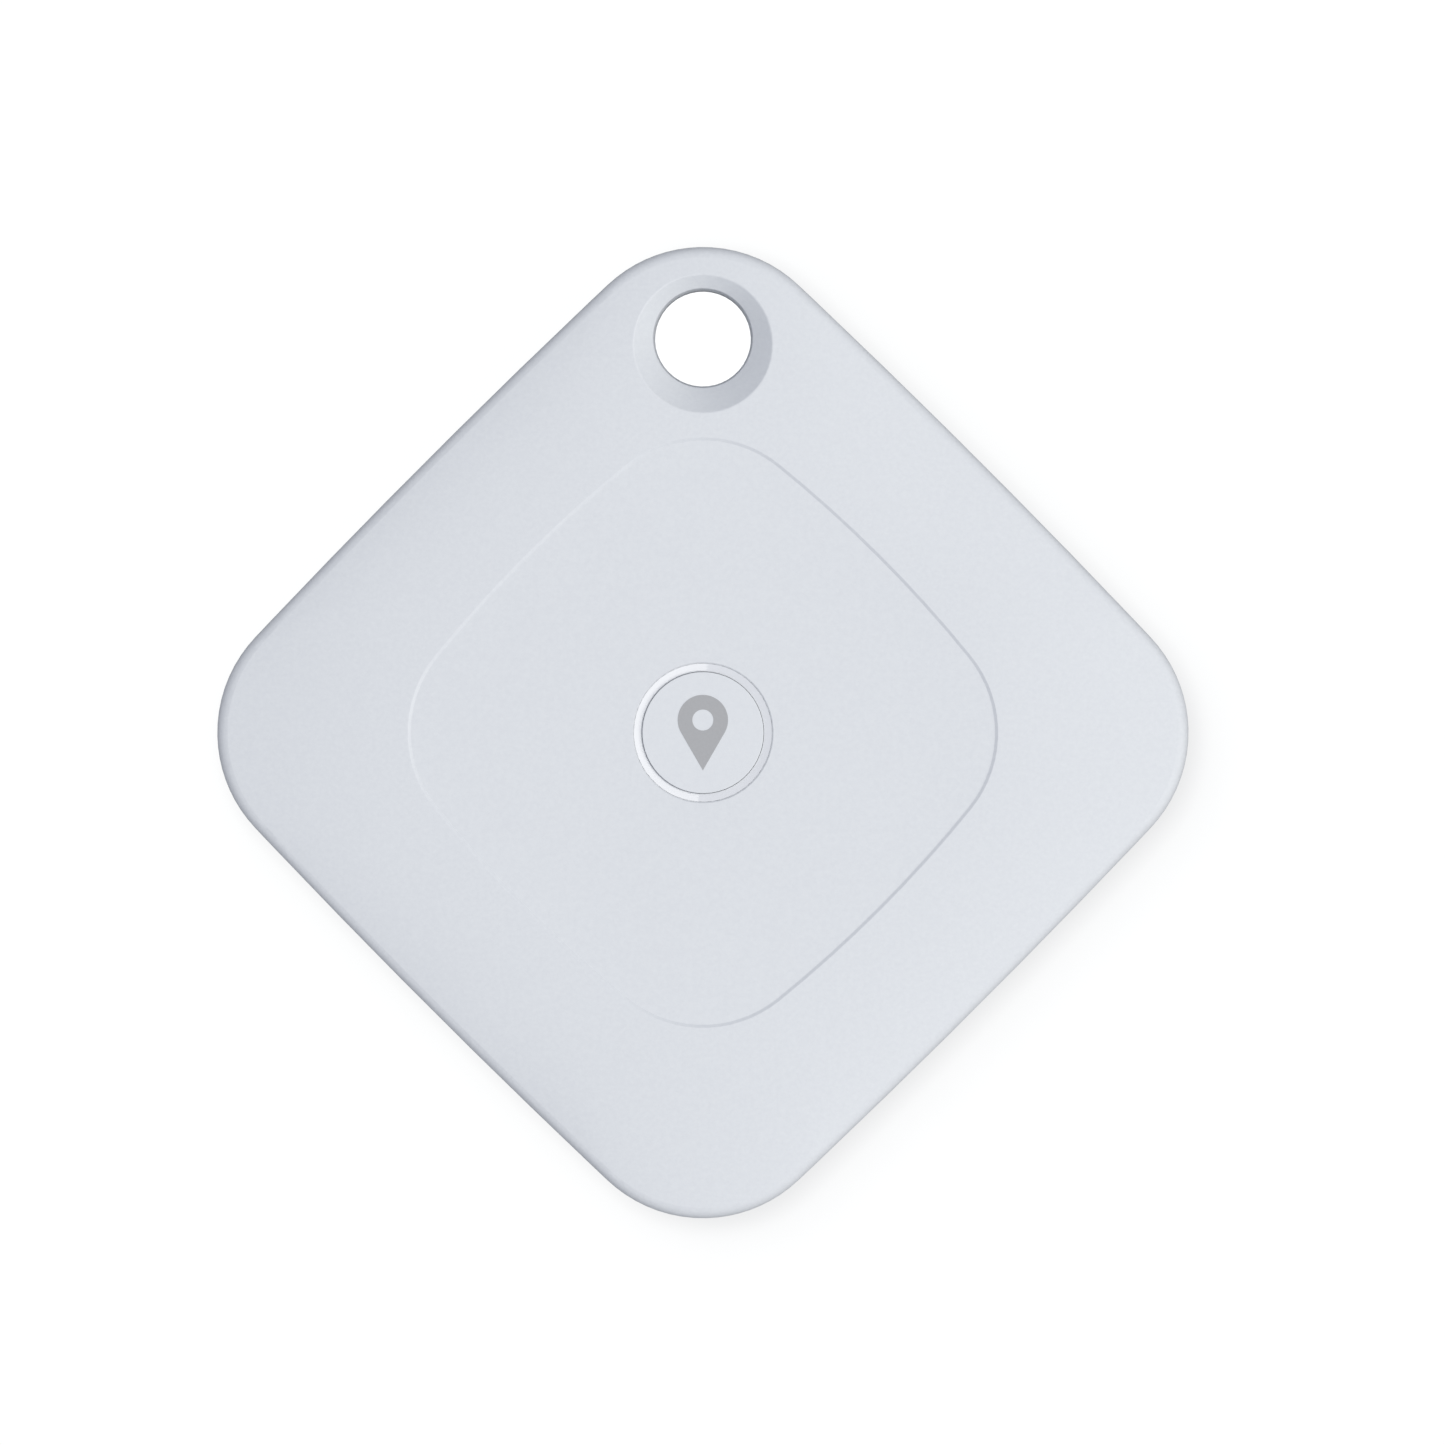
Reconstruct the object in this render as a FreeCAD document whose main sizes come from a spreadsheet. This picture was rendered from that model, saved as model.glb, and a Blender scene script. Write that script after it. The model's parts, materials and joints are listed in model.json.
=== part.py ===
import FreeCAD, Part
import math
import os

import Sketcher

# A square Bluetooth-style tracker tag: domed two-piece case with a key-ring hole in one
# corner, a press button in a dished ring, a coin cell under a turn-to-open rear door.
# Lengths are millimetres. Z runs from the rear face up to the button side, and the
# key-ring hole is on +Y. The case is drawn with its flats on X and Y, then turned
# by CASE_TURN so that the hole's corner points along +Y.

os.makedirs("parts", exist_ok=True)
doc = FreeCAD.newDocument("tracker_tag")

CASE_TURN = 45.0
UP = FreeCAD.Vector(0, 0, 1)
SAME = 1e-4  # mm: places closer than this are one place

SIZES = {
    # case outline: four slightly bowed sides with round corners
    "half_width": 18.0,
    "side_radius": 400.0,
    "corner_radius": 6.45,
    "wall": 1.2,
    "rear_depth": 3.2,
    "rear_round": 1.2,
    # domed front
    "skin": 1.1,
    "dome_rise": 0.7,
    "dome_mid_inset": 2.8,
    "dome_mid_drop": 0.19,
    "dome_mid_side": 150.0,
    "dome_mid_corner": 8.6,
    "edge_round": 0.55,
    # sunken centre panel
    "panel_half": 11.5,
    "panel_side": 60.0,
    "panel_corner": 5.5,
    "panel_step": 0.14,
    "panel_sink": 0.1,
    "panel_rim": 0.06,
    # key-ring hole
    "hole_radius": 2.23,
    "hole_margin": 2.0,
    "hole_boss_inset": 0.13,
    "flare_depth": 1.13,
    "flare_width": 1.21,
    "throat_depth": 1.5,
    "throat_draft": 0.08,
    "rear_flare": 0.9,
    "hole_round": 0.1,
    # joint between the shells
    "seam_round": 0.07,
    "lip_gap": 0.08,
    "lip_wall": 0.72,
    "lip_rise": 0.9,
    "gasket_inset": 0.7,
    "gasket_width": 0.4,
    "gasket_depth": 0.5,
    # button, ring and seal
    "button_radius": 2.82,
    "button_gap": 0.02,
    "button_flange": 0.5,
    "button_flange_thick": 0.18,
    "button_travel": 0.2,
    "button_round": 0.04,
    "ring_width": 0.37,
    "ring_flange": 0.9,
    "ring_flange_thick": 0.35,
    "ring_sink": 0.06,
    "ring_dish": 0.1,
    "ring_gap": 0.01,
    "bore_bevel": 0.06,
    "ring_lift": 0.03,
    "ring_pocket_gap": 0.05,
    "seal_web": 0.17,
    "seal_pad": 0.25,
    "seal_pad_radius": 1.6,
    "seal_span": 4.3,
    "seal_rim_width": 0.8,
    "seal_rim_thick": 0.28,
    # coin cell, CR2032 size
    "cell_radius": 10.0,
    "cell_height": 3.2,
    "can_wall": 0.22,
    "cap_shoulder": 1.15,
    "cap_rise": 0.22,
    "cap_wall": 0.2,
    "cap_skirt_gap": 0.02,
    "cell_gasket": 0.3,
    "cell_gasket_drop": 0.28,
    "crimp_drop": 0.1,
    "crimp_thick": 0.12,
    "cap_bevel": 0.12,
    "cap_shoulder_drop": 0.2,
    "cap_shoulder_fall": 0.1,
    "cap_shoulder_under": 0.42,
    "cap_foot_gap": 0.2,
    "anode_depth": 1.52,
    "separator_thick": 0.12,
    # rear door and its quick thread
    "door_sink": 0.1,
    "door_flange": 0.58,
    "door_plate": 1.1,
    "door_gap": 0.15,
    "door_round": 0.2,
    "cell_clear": 0.4,
    "skirt_wall": 1.1,
    "skirt_gap": 0.1,
    "skirt_rise": 1.95,
    "flange_reach": 1.1,
    "lug_reach": 0.65,
    "lug_thick": 0.55,
    "lug_arc": 18.0,
    "lug_gap": 0.08,
    "lug_drop": 0.05,
    "lug_root": 0.3,
    "thread_lead": 9.0,
    "door_turn": 60.0,
    "slot_spare": 1.5,
    "collar_wall": 0.95,
    "groove_depth": 0.55,
    "groove_width": 0.62,
    "groove_lift": 1.62,
    "o_ring_section": 0.28,
    "coin_slot_half": 7.0,
    "coin_slot_side": 1.05,
    "coin_slot_depth": 0.6,
    "mark_radius": 0.45,
    "mark_depth": 0.15,
    "mark_margin": 1.3,
    # circuit board and the frame under it
    "contact_space": 0.53,
    "board_thick": 0.8,
    "board_inset": 3.6,
    "board_corner": 4.0,
    "headroom": 1.05,
    "low_headroom": 0.45,
    "seat_gap": 0.02,
    "frame_gap": 0.15,
    "frame_wall": 3.25,
    "frame_ledge": 1.15,
    "frame_foot_gap": 0.1,
    "window_spare": 1.0,
    "tongue_thick": 0.73,
    "tongue_half": 1.6,
    "tongue_end": 1.3,
    # screws
    "screw_out": 0.64,
    "screw_radius": 0.58,
    "screw_gap": 0.02,
    "screw_head": 1.1,
    "screw_head_thick": 0.5,
    "screw_bite": 1.15,
    "screw_cross_long": 0.62,
    "screw_cross_wide": 0.16,
    "screw_cross_depth": 0.3,
    "boss_radius": 1.9,
    "screw_hole": 0.8,
    # contacts
    "strip": 0.15,
    "contact_half": 1.5,
    "contact_foot": 1.6,
    "contact_out": 0.75,
    "contact_knee_drop": 0.3,
    "contact_touch_drop": 0.55,
    "contact_tail_drop": 0.95,
    "contact_tail_in": 0.45,
    "contact_bend": 0.03,
    "spring_reach": 6.0,
    "spring_half": 0.7,
    "spring_hub": 1.7,
    "arm_root": 0.5,
    "arm_level": 0.4,
    "arm_toe": 1.0,
    "arm_toe_lift": 0.15,
    # switch
    "switch_half": 2.2,
    "switch_base": 0.5,
    "switch_well": 1.5,
    "cover_thick": 0.1,
    "cover_drop": 0.32,
    "cover_tab_half": 1.2,
    "plunger_radius": 0.75,
    "plunger_flange": 0.4,
    "plunger_flange_thick": 0.1,
    "plunger_gap": 0.07,
    "plunger_rise": 0.1,
    "plunger_spare": 0.07,
    "snap_radius": 1.3,
    "snap_rise": 0.17,
    "snap_metal": 0.06,
    "snap_shoulder": 0.45,
    "snap_bow": 0.03,
    # sounder
    "piezo_out": 9.3,
    "piezo_radius": 3.9,
    "piezo_glue": 0.1,
    "piezo_glue_width": 0.6,
    "piezo_plate": 0.12,
    "piezo_ceramic": 0.12,
    "ceramic_radius": 2.9,
    "finger_half": 0.5,
    "finger_thick": 0.1,
    "finger_run": 1.3,
    "finger_foot": 0.9,
    "finger_bend": 0.35,
    "finger_heel": 0.14,
    "finger_toe": 0.1,
    "finger_top": 0.25,
    "finger_inset": 0.5,
}

# Board parts: centre along and across the board, length, width, height.
BOARD_PARTS = {
    "radio_chip": (8.2, -1.5, 5.0, 5.0, 0.80),
    "radio_crystal": (8.2, -6.2, 2.5, 2.0, 0.55),
    "clock_crystal": (7.6, -9.0, 3.2, 1.5, 0.75),
    "motion_sensor": (2.5, -8.3, 2.0, 2.0, 0.70),
    "inductor": (6.6, 4.6, 2.0, 1.6, 0.90),
    "chip_antenna": (-3.0, 9.9, 7.0, 2.0, 0.90),
}

# Rows of small chips: how many, then the first one's centre, the step to the next one, and
# each one's length, width and height.
CHIP_ROWS = {
    "capacitors": {
        "supply_row": (4, 3.6, 7.6, 1.7, 0.0, 0.6, 1.1, 0.50),
        "sensor_row": (3, 2.2, -10.3, 1.5, 0.0, 0.6, 1.1, 0.40),
        "edge_row": (3, -8.9, 4.4, 0.0, -1.5, 1.1, 0.6, 0.50),
    },
    "resistors": {
        "divider_row": (4, -7.2, 4.4, 0.0, -1.5, 1.0, 0.5, 0.35),
        "pull_up_row": (3, -1.4, -7.4, 0.0, -1.4, 1.0, 0.5, 0.35),
    },
}

for part_name, numbers in BOARD_PARTS.items():
    for word, number in zip(("along", "across", "length", "width", "height"), numbers):
        SIZES[f"{part_name}_{word}"] = number
ROW_WORDS = ("along", "across", "step_along", "step_across", "length", "width", "height")
for rows in CHIP_ROWS.values():
    for row, (_, *numbers) in rows.items():
        for word, number in zip(ROW_WORDS, numbers):
            SIZES[f"{row}_{word}"] = number

DERIVED = {
    # distance from the centre to a corner arc's centre, along X and along Y
    "corner_centre": "(sizes.half_width - sizes.side_radius + sqrt(2 * (sizes.side_radius"
    " - sizes.corner_radius)^2 - (sizes.half_width - sizes.side_radius)^2)) / 2",
    "hole_distance": "derived.corner_centre * sqrt(2) + sizes.corner_radius"
    " - sizes.hole_margin - sizes.hole_radius",
    "hole_along": "derived.hole_distance / sqrt(2)",
    "hole_boss": "sizes.hole_radius + sizes.hole_margin - sizes.hole_boss_inset",
    "screw_distance": "derived.corner_centre * sqrt(2) + sizes.screw_out",
    "screw_along": "derived.screw_distance / sqrt(2)",
    # heights from the rear face up
    "rear_floor": "sizes.door_sink + sizes.door_plate",
    "flange_top": "sizes.door_sink + sizes.door_flange",
    "cell_z": "derived.rear_floor + sizes.seat_gap",
    "cell_top": "derived.cell_z + sizes.cell_height",
    "board_z": "derived.cell_top + sizes.contact_space",
    "board_top": "derived.board_z + sizes.board_thick",
    "ceiling": "derived.board_top + sizes.headroom",
    "low_ceiling": "derived.board_top + sizes.low_headroom",
    "panel_z": "derived.ceiling + sizes.skin",
    "rim_z": "derived.panel_z + sizes.panel_sink",
    "mid_z": "derived.rim_z - sizes.dome_mid_drop",
    "edge_z": "derived.rim_z - sizes.dome_rise",
    "lip_top": "sizes.rear_depth + sizes.lip_rise",
    "skirt_top": "derived.rear_floor + sizes.skirt_rise",
    "collar_top": "derived.skirt_top + sizes.skirt_gap / 2",
    "flare_z": "derived.rim_z - sizes.flare_depth",
    "throat_z": "derived.flare_z - sizes.throat_depth",
    # radii around the coin cell
    "skirt_in": "sizes.cell_radius + sizes.cell_clear",
    "skirt_out": "derived.skirt_in + sizes.skirt_wall",
    "collar_bore": "derived.skirt_out + sizes.skirt_gap",
    "lug_radius": "derived.skirt_out + sizes.lug_reach",
    "slot_radius": "derived.lug_radius + sizes.skirt_gap",
    "collar_out": "derived.slot_radius + sizes.collar_wall",
    "flange_radius": "derived.skirt_out + sizes.flange_reach",
    "frame_in": "sizes.cell_radius + sizes.frame_gap",
    "frame_out": "min(derived.frame_in + sizes.frame_wall;"
    " derived.hole_distance - derived.hole_boss - sizes.frame_gap)",
    "cap_radius": "sizes.cell_radius - sizes.cap_shoulder",
    "lug_z": "derived.rear_floor - sizes.lug_drop",
    "slot_z": "derived.lug_z - sizes.lug_gap"
    " - sizes.thread_lead * (sizes.door_turn + sizes.slot_spare) / 360",
    "groove_z": "derived.flange_top + sizes.groove_lift",
    "groove_radius": "derived.skirt_out - sizes.groove_depth",
    "o_ring_z": "derived.groove_z + sizes.groove_width / 2",
    "o_ring_radius": "(derived.groove_radius + derived.collar_bore) / 2",
    "mark_ring": "derived.flange_radius + sizes.door_gap + sizes.mark_margin",
    "open_mark_x": "derived.mark_ring * cos((45 - sizes.door_turn) * 1 deg)",
    "open_mark_y": "derived.mark_ring * sin((45 - sizes.door_turn) * 1 deg)",
    "shut_mark": "derived.mark_ring / sqrt(2)",
    # button stack
    "ring_in": "sizes.button_radius + sizes.button_gap",
    "ring_out": "derived.ring_in + sizes.ring_width",
    "ring_bore": "derived.ring_out + sizes.ring_gap",
    "ring_flange_out": "derived.ring_out + sizes.ring_flange",
    "ring_pocket": "derived.ring_flange_out + sizes.ring_pocket_gap",
    "switch_floor": "sizes.switch_base - sizes.plunger_flange_thick"
    " - sizes.button_travel - sizes.plunger_spare",
    "plunger_top": "derived.board_top + sizes.switch_base + sizes.cover_thick"
    " + sizes.plunger_rise",
    "seal_z": "derived.plunger_top + sizes.seat_gap",
    "button_z": "derived.seal_z + sizes.seal_pad + sizes.seat_gap",
    "button_step": "derived.button_z + sizes.button_flange_thick",
    "ring_z": "derived.button_step + sizes.ring_lift",
    "ring_step": "derived.ring_z + sizes.ring_flange_thick",
    "rim_seat": "derived.ceiling - sizes.seat_gap - sizes.seal_rim_thick",
    # sounder
    "glue_z": "derived.ceiling - sizes.piezo_glue",
    "plate_z": "derived.glue_z - sizes.piezo_plate",
    "ceramic_z": "derived.plate_z - sizes.piezo_ceramic",
    # coin cell, from the cell's own base
    "can_top": "sizes.cell_height - sizes.cap_rise",
    "cap_skirt": "sizes.cell_radius - sizes.can_wall - sizes.cell_gasket"
    " - sizes.cap_skirt_gap",
    "pack_radius": "derived.cap_skirt - sizes.cap_wall - sizes.seat_gap",
    "anode_z": "sizes.cell_height - sizes.anode_depth",
    "separator_z": "derived.anode_z - sizes.seat_gap - sizes.separator_thick",
}
boxed = list(BOARD_PARTS)
for rows in CHIP_ROWS.values():
    boxed.extend(rows)
for part_name in boxed:
    DERIVED[f"{part_name}_half_length"] = f"sizes.{part_name}_length / 2"
    DERIVED[f"{part_name}_half_width"] = f"sizes.{part_name}_width / 2"

sheet = doc.addObject("Spreadsheet::Sheet", "sizes")
for row, (alias, number) in enumerate(SIZES.items(), start=1):
    sheet.set(f"A{row}", alias)
    sheet.set(f"B{row}", str(number))
    sheet.setAlias(f"B{row}", alias)
doc.recompute()

derived = doc.addObject("App::VarSet", "derived")
for alias, formula in DERIVED.items():
    derived.addProperty("App::PropertyFloat", alias)
    derived.setExpression(alias, formula)
    doc.recompute()


def amount(formula):
    """The number that a run of named sizes and plain numbers, joined by + and -, adds to."""
    total = 0.0
    sign = 1.0
    for word in str(formula).split():
        if word in ("+", "-"):
            sign = 1.0 if word == "+" else -1.0
        elif word in SIZES:
            total += sign * SIZES[word]
        elif word in DERIVED:
            total += sign * getattr(derived, word)
        else:
            total += sign * float(word)
    return total


def bound(formula):
    """The same run written as an expression on the sheet and the derived values."""
    words = []
    for word in str(formula).split():
        if word in SIZES:
            word = f"sizes.{word}"
        elif word in DERIVED:
            word = f"derived.{word}"
        words.append(word)
    return " ".join(words)


def minus(formula):
    """The negative of a run."""
    swap = {"+": "-", "-": "+"}
    words = str(formula).split()
    if words[0] == "-":
        return " ".join(["0", "+"] + [swap.get(w, w) for w in words[1:]])
    return " ".join(["0", "-"] + [swap.get(w, w) for w in words])


# ---------------------------------------------------------------- bodies and sketches


def new_body(name, turn=0.0, lift=None):
    body = doc.addObject("PartDesign::Body", name)
    body.Label = name
    body.AllowCompound = True
    body.Placement = FreeCAD.Placement(FreeCAD.Vector(0, 0, 0), FreeCAD.Rotation(UP, turn))
    if lift:
        body.setExpression("Placement.Base.z", bound(lift))
    return body


def origin_feature(body, role):
    for feature in body.Origin.OriginFeatures:
        if feature.Role == role:
            return feature


def new_sketch(body, name, role="XY_Plane", height=None):
    sketch = body.newObject("Sketcher::SketchObject", f"{body.Name}_{name}")
    sketch.AttachmentSupport = [(origin_feature(body, role), "")]
    sketch.MapMode = "FlatFace"
    if height:
        sketch.setExpression("AttachmentOffset.Base.z", bound(height))
    return sketch


def hold(sketch, geometry, point, x, y):
    """Hold one point at x, y from the sketch's origin."""
    for kind, axis, formula in (("DistanceX", -2, x), ("DistanceY", -1, y)):
        value = amount(formula)
        if abs(value) < SAME:
            sketch.addConstraint(Sketcher.Constraint("PointOnObject", geometry, point, axis))
            continue
        number = sketch.addConstraint(
            Sketcher.Constraint(kind, -1, 1, geometry, point, value)
        )
        sketch.setExpression(f"Constraints[{number}]", bound(formula))


def polygon(sketch, points):
    """A closed run of straight lines through points given as pairs of formulas."""
    start = sketch.GeometryCount
    count = len(points)
    spots = [FreeCAD.Vector(amount(x), amount(y), 0) for x, y in points]
    for i in range(count):
        sketch.addGeometry(Part.LineSegment(spots[i], spots[(i + 1) % count]), False)
    for i in range(count):
        after = start + (i + 1) % count
        sketch.addConstraint(Sketcher.Constraint("Coincident", start + i, 2, after, 1))
    for i, (x, y) in enumerate(points):
        hold(sketch, start + i, 1, x, y)


def rectangle(sketch, x, y, half_x, half_y):
    left, right = f"{x} {minus(half_x)[2:]}", f"{x} + {half_x}"
    low, high = f"{y} {minus(half_y)[2:]}", f"{y} + {half_y}"
    polygon(sketch, [(left, low), (right, low), (right, high), (left, high)])


def circle(sketch, radius, x="0", y="0"):
    centre = FreeCAD.Vector(amount(x), amount(y), 0)
    index = sketch.addGeometry(Part.Circle(centre, UP, amount(radius)), False)
    hold(sketch, index, 3, x, y)
    number = sketch.addConstraint(Sketcher.Constraint("Radius", index, amount(radius)))
    sketch.setExpression(f"Constraints[{number}]", bound(radius))


def bowed_square(sketch, half, side, corner):
    """Four sides of radius side and four corners of radius corner, tangent in turn."""
    h, s, c = amount(half), amount(side), amount(corner)
    centre = (h - s + math.sqrt(2 * (s - c) ** 2 - (h - s) ** 2)) / 2
    lean = math.atan2(centre, centre - (h - s))
    start = sketch.GeometryCount
    for quarter in range(4):
        turn = quarter * math.pi / 2
        side_centre = FreeCAD.Vector(math.cos(turn), math.sin(turn), 0) * (h - s)
        diagonal = turn + math.pi / 4
        corner_centre = FreeCAD.Vector(math.cos(diagonal), math.sin(diagonal), 0)
        corner_centre = corner_centre * (centre * math.sqrt(2))
        sketch.addGeometry(
            Part.ArcOfCircle(Part.Circle(side_centre, UP, s), turn - lean, turn + lean)
        )
        sketch.addGeometry(
            Part.ArcOfCircle(
                Part.Circle(corner_centre, UP, c), turn + lean, turn + math.pi / 2 - lean
            )
        )
    for i in range(8):
        after = start + (i + 1) % 8
        sketch.addConstraint(Sketcher.Constraint("Tangent", start + i, 2, after, 1))
    for quarter in range(1, 4):
        for first in (start, start + 1):
            sketch.addConstraint(
                Sketcher.Constraint("Equal", first, first + 2 * quarter)
            )
    for index, formula in ((start, side), (start + 1, corner)):
        number = sketch.addConstraint(
            Sketcher.Constraint("Radius", index, amount(formula))
        )
        sketch.setExpression(f"Constraints[{number}]", bound(formula))
    inward = f"{half} {minus(side)[2:]}"
    outward = f"{side} {minus(half)[2:]}"
    hold(sketch, start, 3, inward, "0")
    hold(sketch, start + 2, 3, "0", inward)
    hold(sketch, start + 4, 3, outward, "0")
    hold(sketch, start + 6, 3, "0", outward)


def case_loop(sketch, inset=None):
    """The case outline, moved inward by inset."""
    names = ("half_width", "side_radius", "corner_radius")
    if inset:
        names = [f"{name} {minus(inset)[2:]}" for name in names]
    bowed_square(sketch, *names)


def finish(body, feature):
    doc.recompute()
    body.Tip = feature
    return feature


def pad(body, name, sketch, length):
    feature = body.newObject("PartDesign::Pad", f"{body.Name}_{name}")
    feature.Profile = sketch
    feature.setExpression("Length", bound(length))
    sketch.Visibility = False
    return finish(body, feature)


def both_ways(body, name, sketch, half_length):
    feature = body.newObject("PartDesign::Pad", f"{body.Name}_{name}")
    feature.Profile = sketch
    feature.SideType = "Symmetric"
    feature.setExpression("Length", f"2 * ({bound(half_length)})")
    return finish(body, feature)


def finish_cut(body, feature):
    """Finish a feature that must take something away."""
    before = feature.BaseFeature.Shape.Volume
    finish(body, feature)
    if feature.Shape.Volume > before - SAME:
        raise RuntimeError(f"{feature.Name} cut nothing")
    return feature


def pocket(body, name, sketch, depth):
    """Cut down from the sketch's height."""
    feature = body.newObject("PartDesign::Pocket", f"{body.Name}_{name}")
    feature.Profile = sketch
    feature.setExpression("Length", bound(depth))
    return finish_cut(body, feature)


def full_turn(body, name, kind, sketch):
    """Turn a profile once around the body's Z axis."""
    feature = body.newObject(f"PartDesign::{kind}", f"{body.Name}_{name}")
    feature.Profile = sketch
    feature.ReferenceAxis = (sketch, ["V_Axis"])
    feature.Angle = 360
    return feature


def turned(body, name, points):
    sketch = new_sketch(body, f"{name}_profile", "XZ_Plane")
    polygon(sketch, points)
    return finish(body, full_turn(body, name, "Revolution", sketch))


def groove(body, name, points):
    sketch = new_sketch(body, f"{name}_profile", "XZ_Plane")
    polygon(sketch, points)
    return finish_cut(body, full_turn(body, name, "Groove", sketch))


def edges_where(feature, test):
    return [
        f"Edge{i}" for i, edge in enumerate(feature.Shape.Edges, start=1) if test(edge)
    ]


def rounded(body, name, radius, test):
    base = body.Tip
    names = edges_where(base, test)
    if not names:
        raise RuntimeError(f"{body.Name} has no edge for {name}")
    feature = body.newObject("PartDesign::Fillet", f"{body.Name}_{name}")
    feature.Base = (base, names)
    feature.setExpression("Radius", bound(radius))
    return finish(body, feature)


def level(edge, z):
    box = edge.BoundBox
    return abs(box.ZMin - z) < SAME and abs(box.ZMax - z) < SAME


def reach(edge):
    """Farthest distance of an edge's ends and middle from the Z axis."""
    spots = [vertex.Point for vertex in edge.Vertexes]
    spots.append(edge.valueAt((edge.FirstParameter + edge.LastParameter) / 2))
    return max(math.hypot(spot.x, spot.y) for spot in spots)


def round_rim(edge, z, radius):
    """True for a circle about the Z axis at a height."""
    return level(edge, amount(z)) and abs(reach(edge) - amount(radius)) < SAME


def outline_edge(edge, z):
    """True for the case outline's edges at a height."""
    return level(edge, amount(z)) and reach(edge) > amount("half_width") - SAME


def beside_hole(edge):
    """True for an edge that goes around the key-ring hole."""
    centre = edge.BoundBox.Center
    along = amount("hole_along")
    return math.hypot(centre.x - along, centre.y - along) < amount("hole_radius")


def around(body, name, features, count, angle):
    feature = body.newObject("PartDesign::PolarPattern", f"{body.Name}_{name}")
    feature.Originals = features
    feature.Axis = (origin_feature(body, "Z_Axis"), [""])
    feature.Angle = angle
    feature.Occurrences = count
    return finish(body, feature)


def helix(body, name, kind, sketch, sweep):
    feature = body.newObject(f"PartDesign::{kind}", f"{body.Name}_{name}")
    feature.Profile = sketch
    feature.ReferenceAxis = (sketch, ["V_Axis"])
    feature.Mode = 1
    feature.setExpression("Pitch", bound("thread_lead"))
    feature.setExpression("Turns", f"({bound(sweep)}) / 360")
    return finish(body, feature)


def cone_cut(body, name, low_radius, high_radius, z, height):
    feature = body.newObject("PartDesign::SubtractiveCone", f"{body.Name}_{name}")
    feature.AttachmentSupport = [(origin_feature(body, "XY_Plane"), "")]
    feature.MapMode = "FlatFace"
    feature.setExpression("AttachmentOffset.Base.x", bound("hole_along"))
    feature.setExpression("AttachmentOffset.Base.y", bound("hole_along"))
    feature.setExpression("AttachmentOffset.Base.z", bound(z))
    feature.setExpression("Radius1", bound(low_radius))
    feature.setExpression("Radius2", bound(high_radius))
    feature.setExpression("Height", bound(height))
    return finish(body, feature)


SCREW_CORNERS = [
    ("screw_along", "0 - screw_along"),
    ("0 - screw_along", "screw_along"),
    ("0 - screw_along", "0 - screw_along"),
]


# ---------------------------------------------------------------- front shell

front = new_body("front_shell", CASE_TURN)
outline = new_sketch(front, "outline", height="rear_depth")
case_loop(outline)
pad(front, "sides", outline, "edge_z - rear_depth")
rounded(front, "seam_edge", "seam_round", lambda edge: outline_edge(edge, "rear_depth"))

foot = new_sketch(front, "dome_foot", height="edge_z")
case_loop(foot)
middle = new_sketch(front, "dome_middle", height="mid_z")
bowed_square(middle, "half_width - dome_mid_inset", "dome_mid_side", "dome_mid_corner")
rim = new_sketch(front, "dome_rim", height="rim_z")
bowed_square(
    rim,
    "panel_half + panel_step + panel_rim",
    "panel_side + panel_step + panel_rim",
    "panel_corner + panel_step + panel_rim",
)
dome = front.newObject("PartDesign::AdditiveLoft", "front_shell_dome")
dome.Profile = foot
dome.Sections = [middle, rim]
finish(front, dome)
rounded(front, "edge", "edge_round", lambda edge: outline_edge(edge, "edge_z"))

floor_loop = new_sketch(front, "panel_floor", height="panel_z")
bowed_square(floor_loop, "panel_half", "panel_side", "panel_corner")
top_loop = new_sketch(front, "panel_top", height="rim_z")
bowed_square(
    top_loop, "panel_half + panel_step", "panel_side + panel_step", "panel_corner + panel_step"
)
recess = front.newObject("PartDesign::SubtractiveLoft", "front_shell_panel")
recess.Profile = floor_loop
recess.Sections = [top_loop]
recess.Ruled = True
finish(front, recess)

cavity = new_sketch(front, "cavity", height="low_ceiling")
case_loop(cavity, "wall")
pocket(front, "cavity_cut", cavity, "low_ceiling - rear_depth")
high = new_sketch(front, "high_ceiling", height="ceiling")
bowed_square(high, "panel_half - seat_gap", "panel_side", "panel_corner")
pocket(front, "high_ceiling_cut", high, "ceiling - low_ceiling")

hole_boss = new_sketch(front, "hole_boss", height="rear_depth")
circle(hole_boss, "hole_boss", "hole_along", "hole_along")
pad(front, "hole_boss_pad", hole_boss, "low_ceiling - rear_depth")
screw_boss = new_sketch(front, "screw_boss", height="board_top + seat_gap")
for x, y in SCREW_CORNERS:
    circle(screw_boss, "boss_radius", x, y)
pad(front, "screw_boss_pad", screw_boss, "low_headroom")
pilot = new_sketch(front, "pilot", height="board_top + screw_bite + seat_gap")
for x, y in SCREW_CORNERS:
    circle(pilot, "screw_radius + screw_gap", x, y)
pocket(front, "pilot_cut", pilot, "screw_bite + screw_bite")

gasket_seat = new_sketch(front, "gasket_seat", height="rear_depth + gasket_depth")
case_loop(gasket_seat, "gasket_inset")
case_loop(gasket_seat, "wall + lip_gap")
pocket(front, "gasket_seat_cut", gasket_seat, "gasket_depth")

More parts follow.
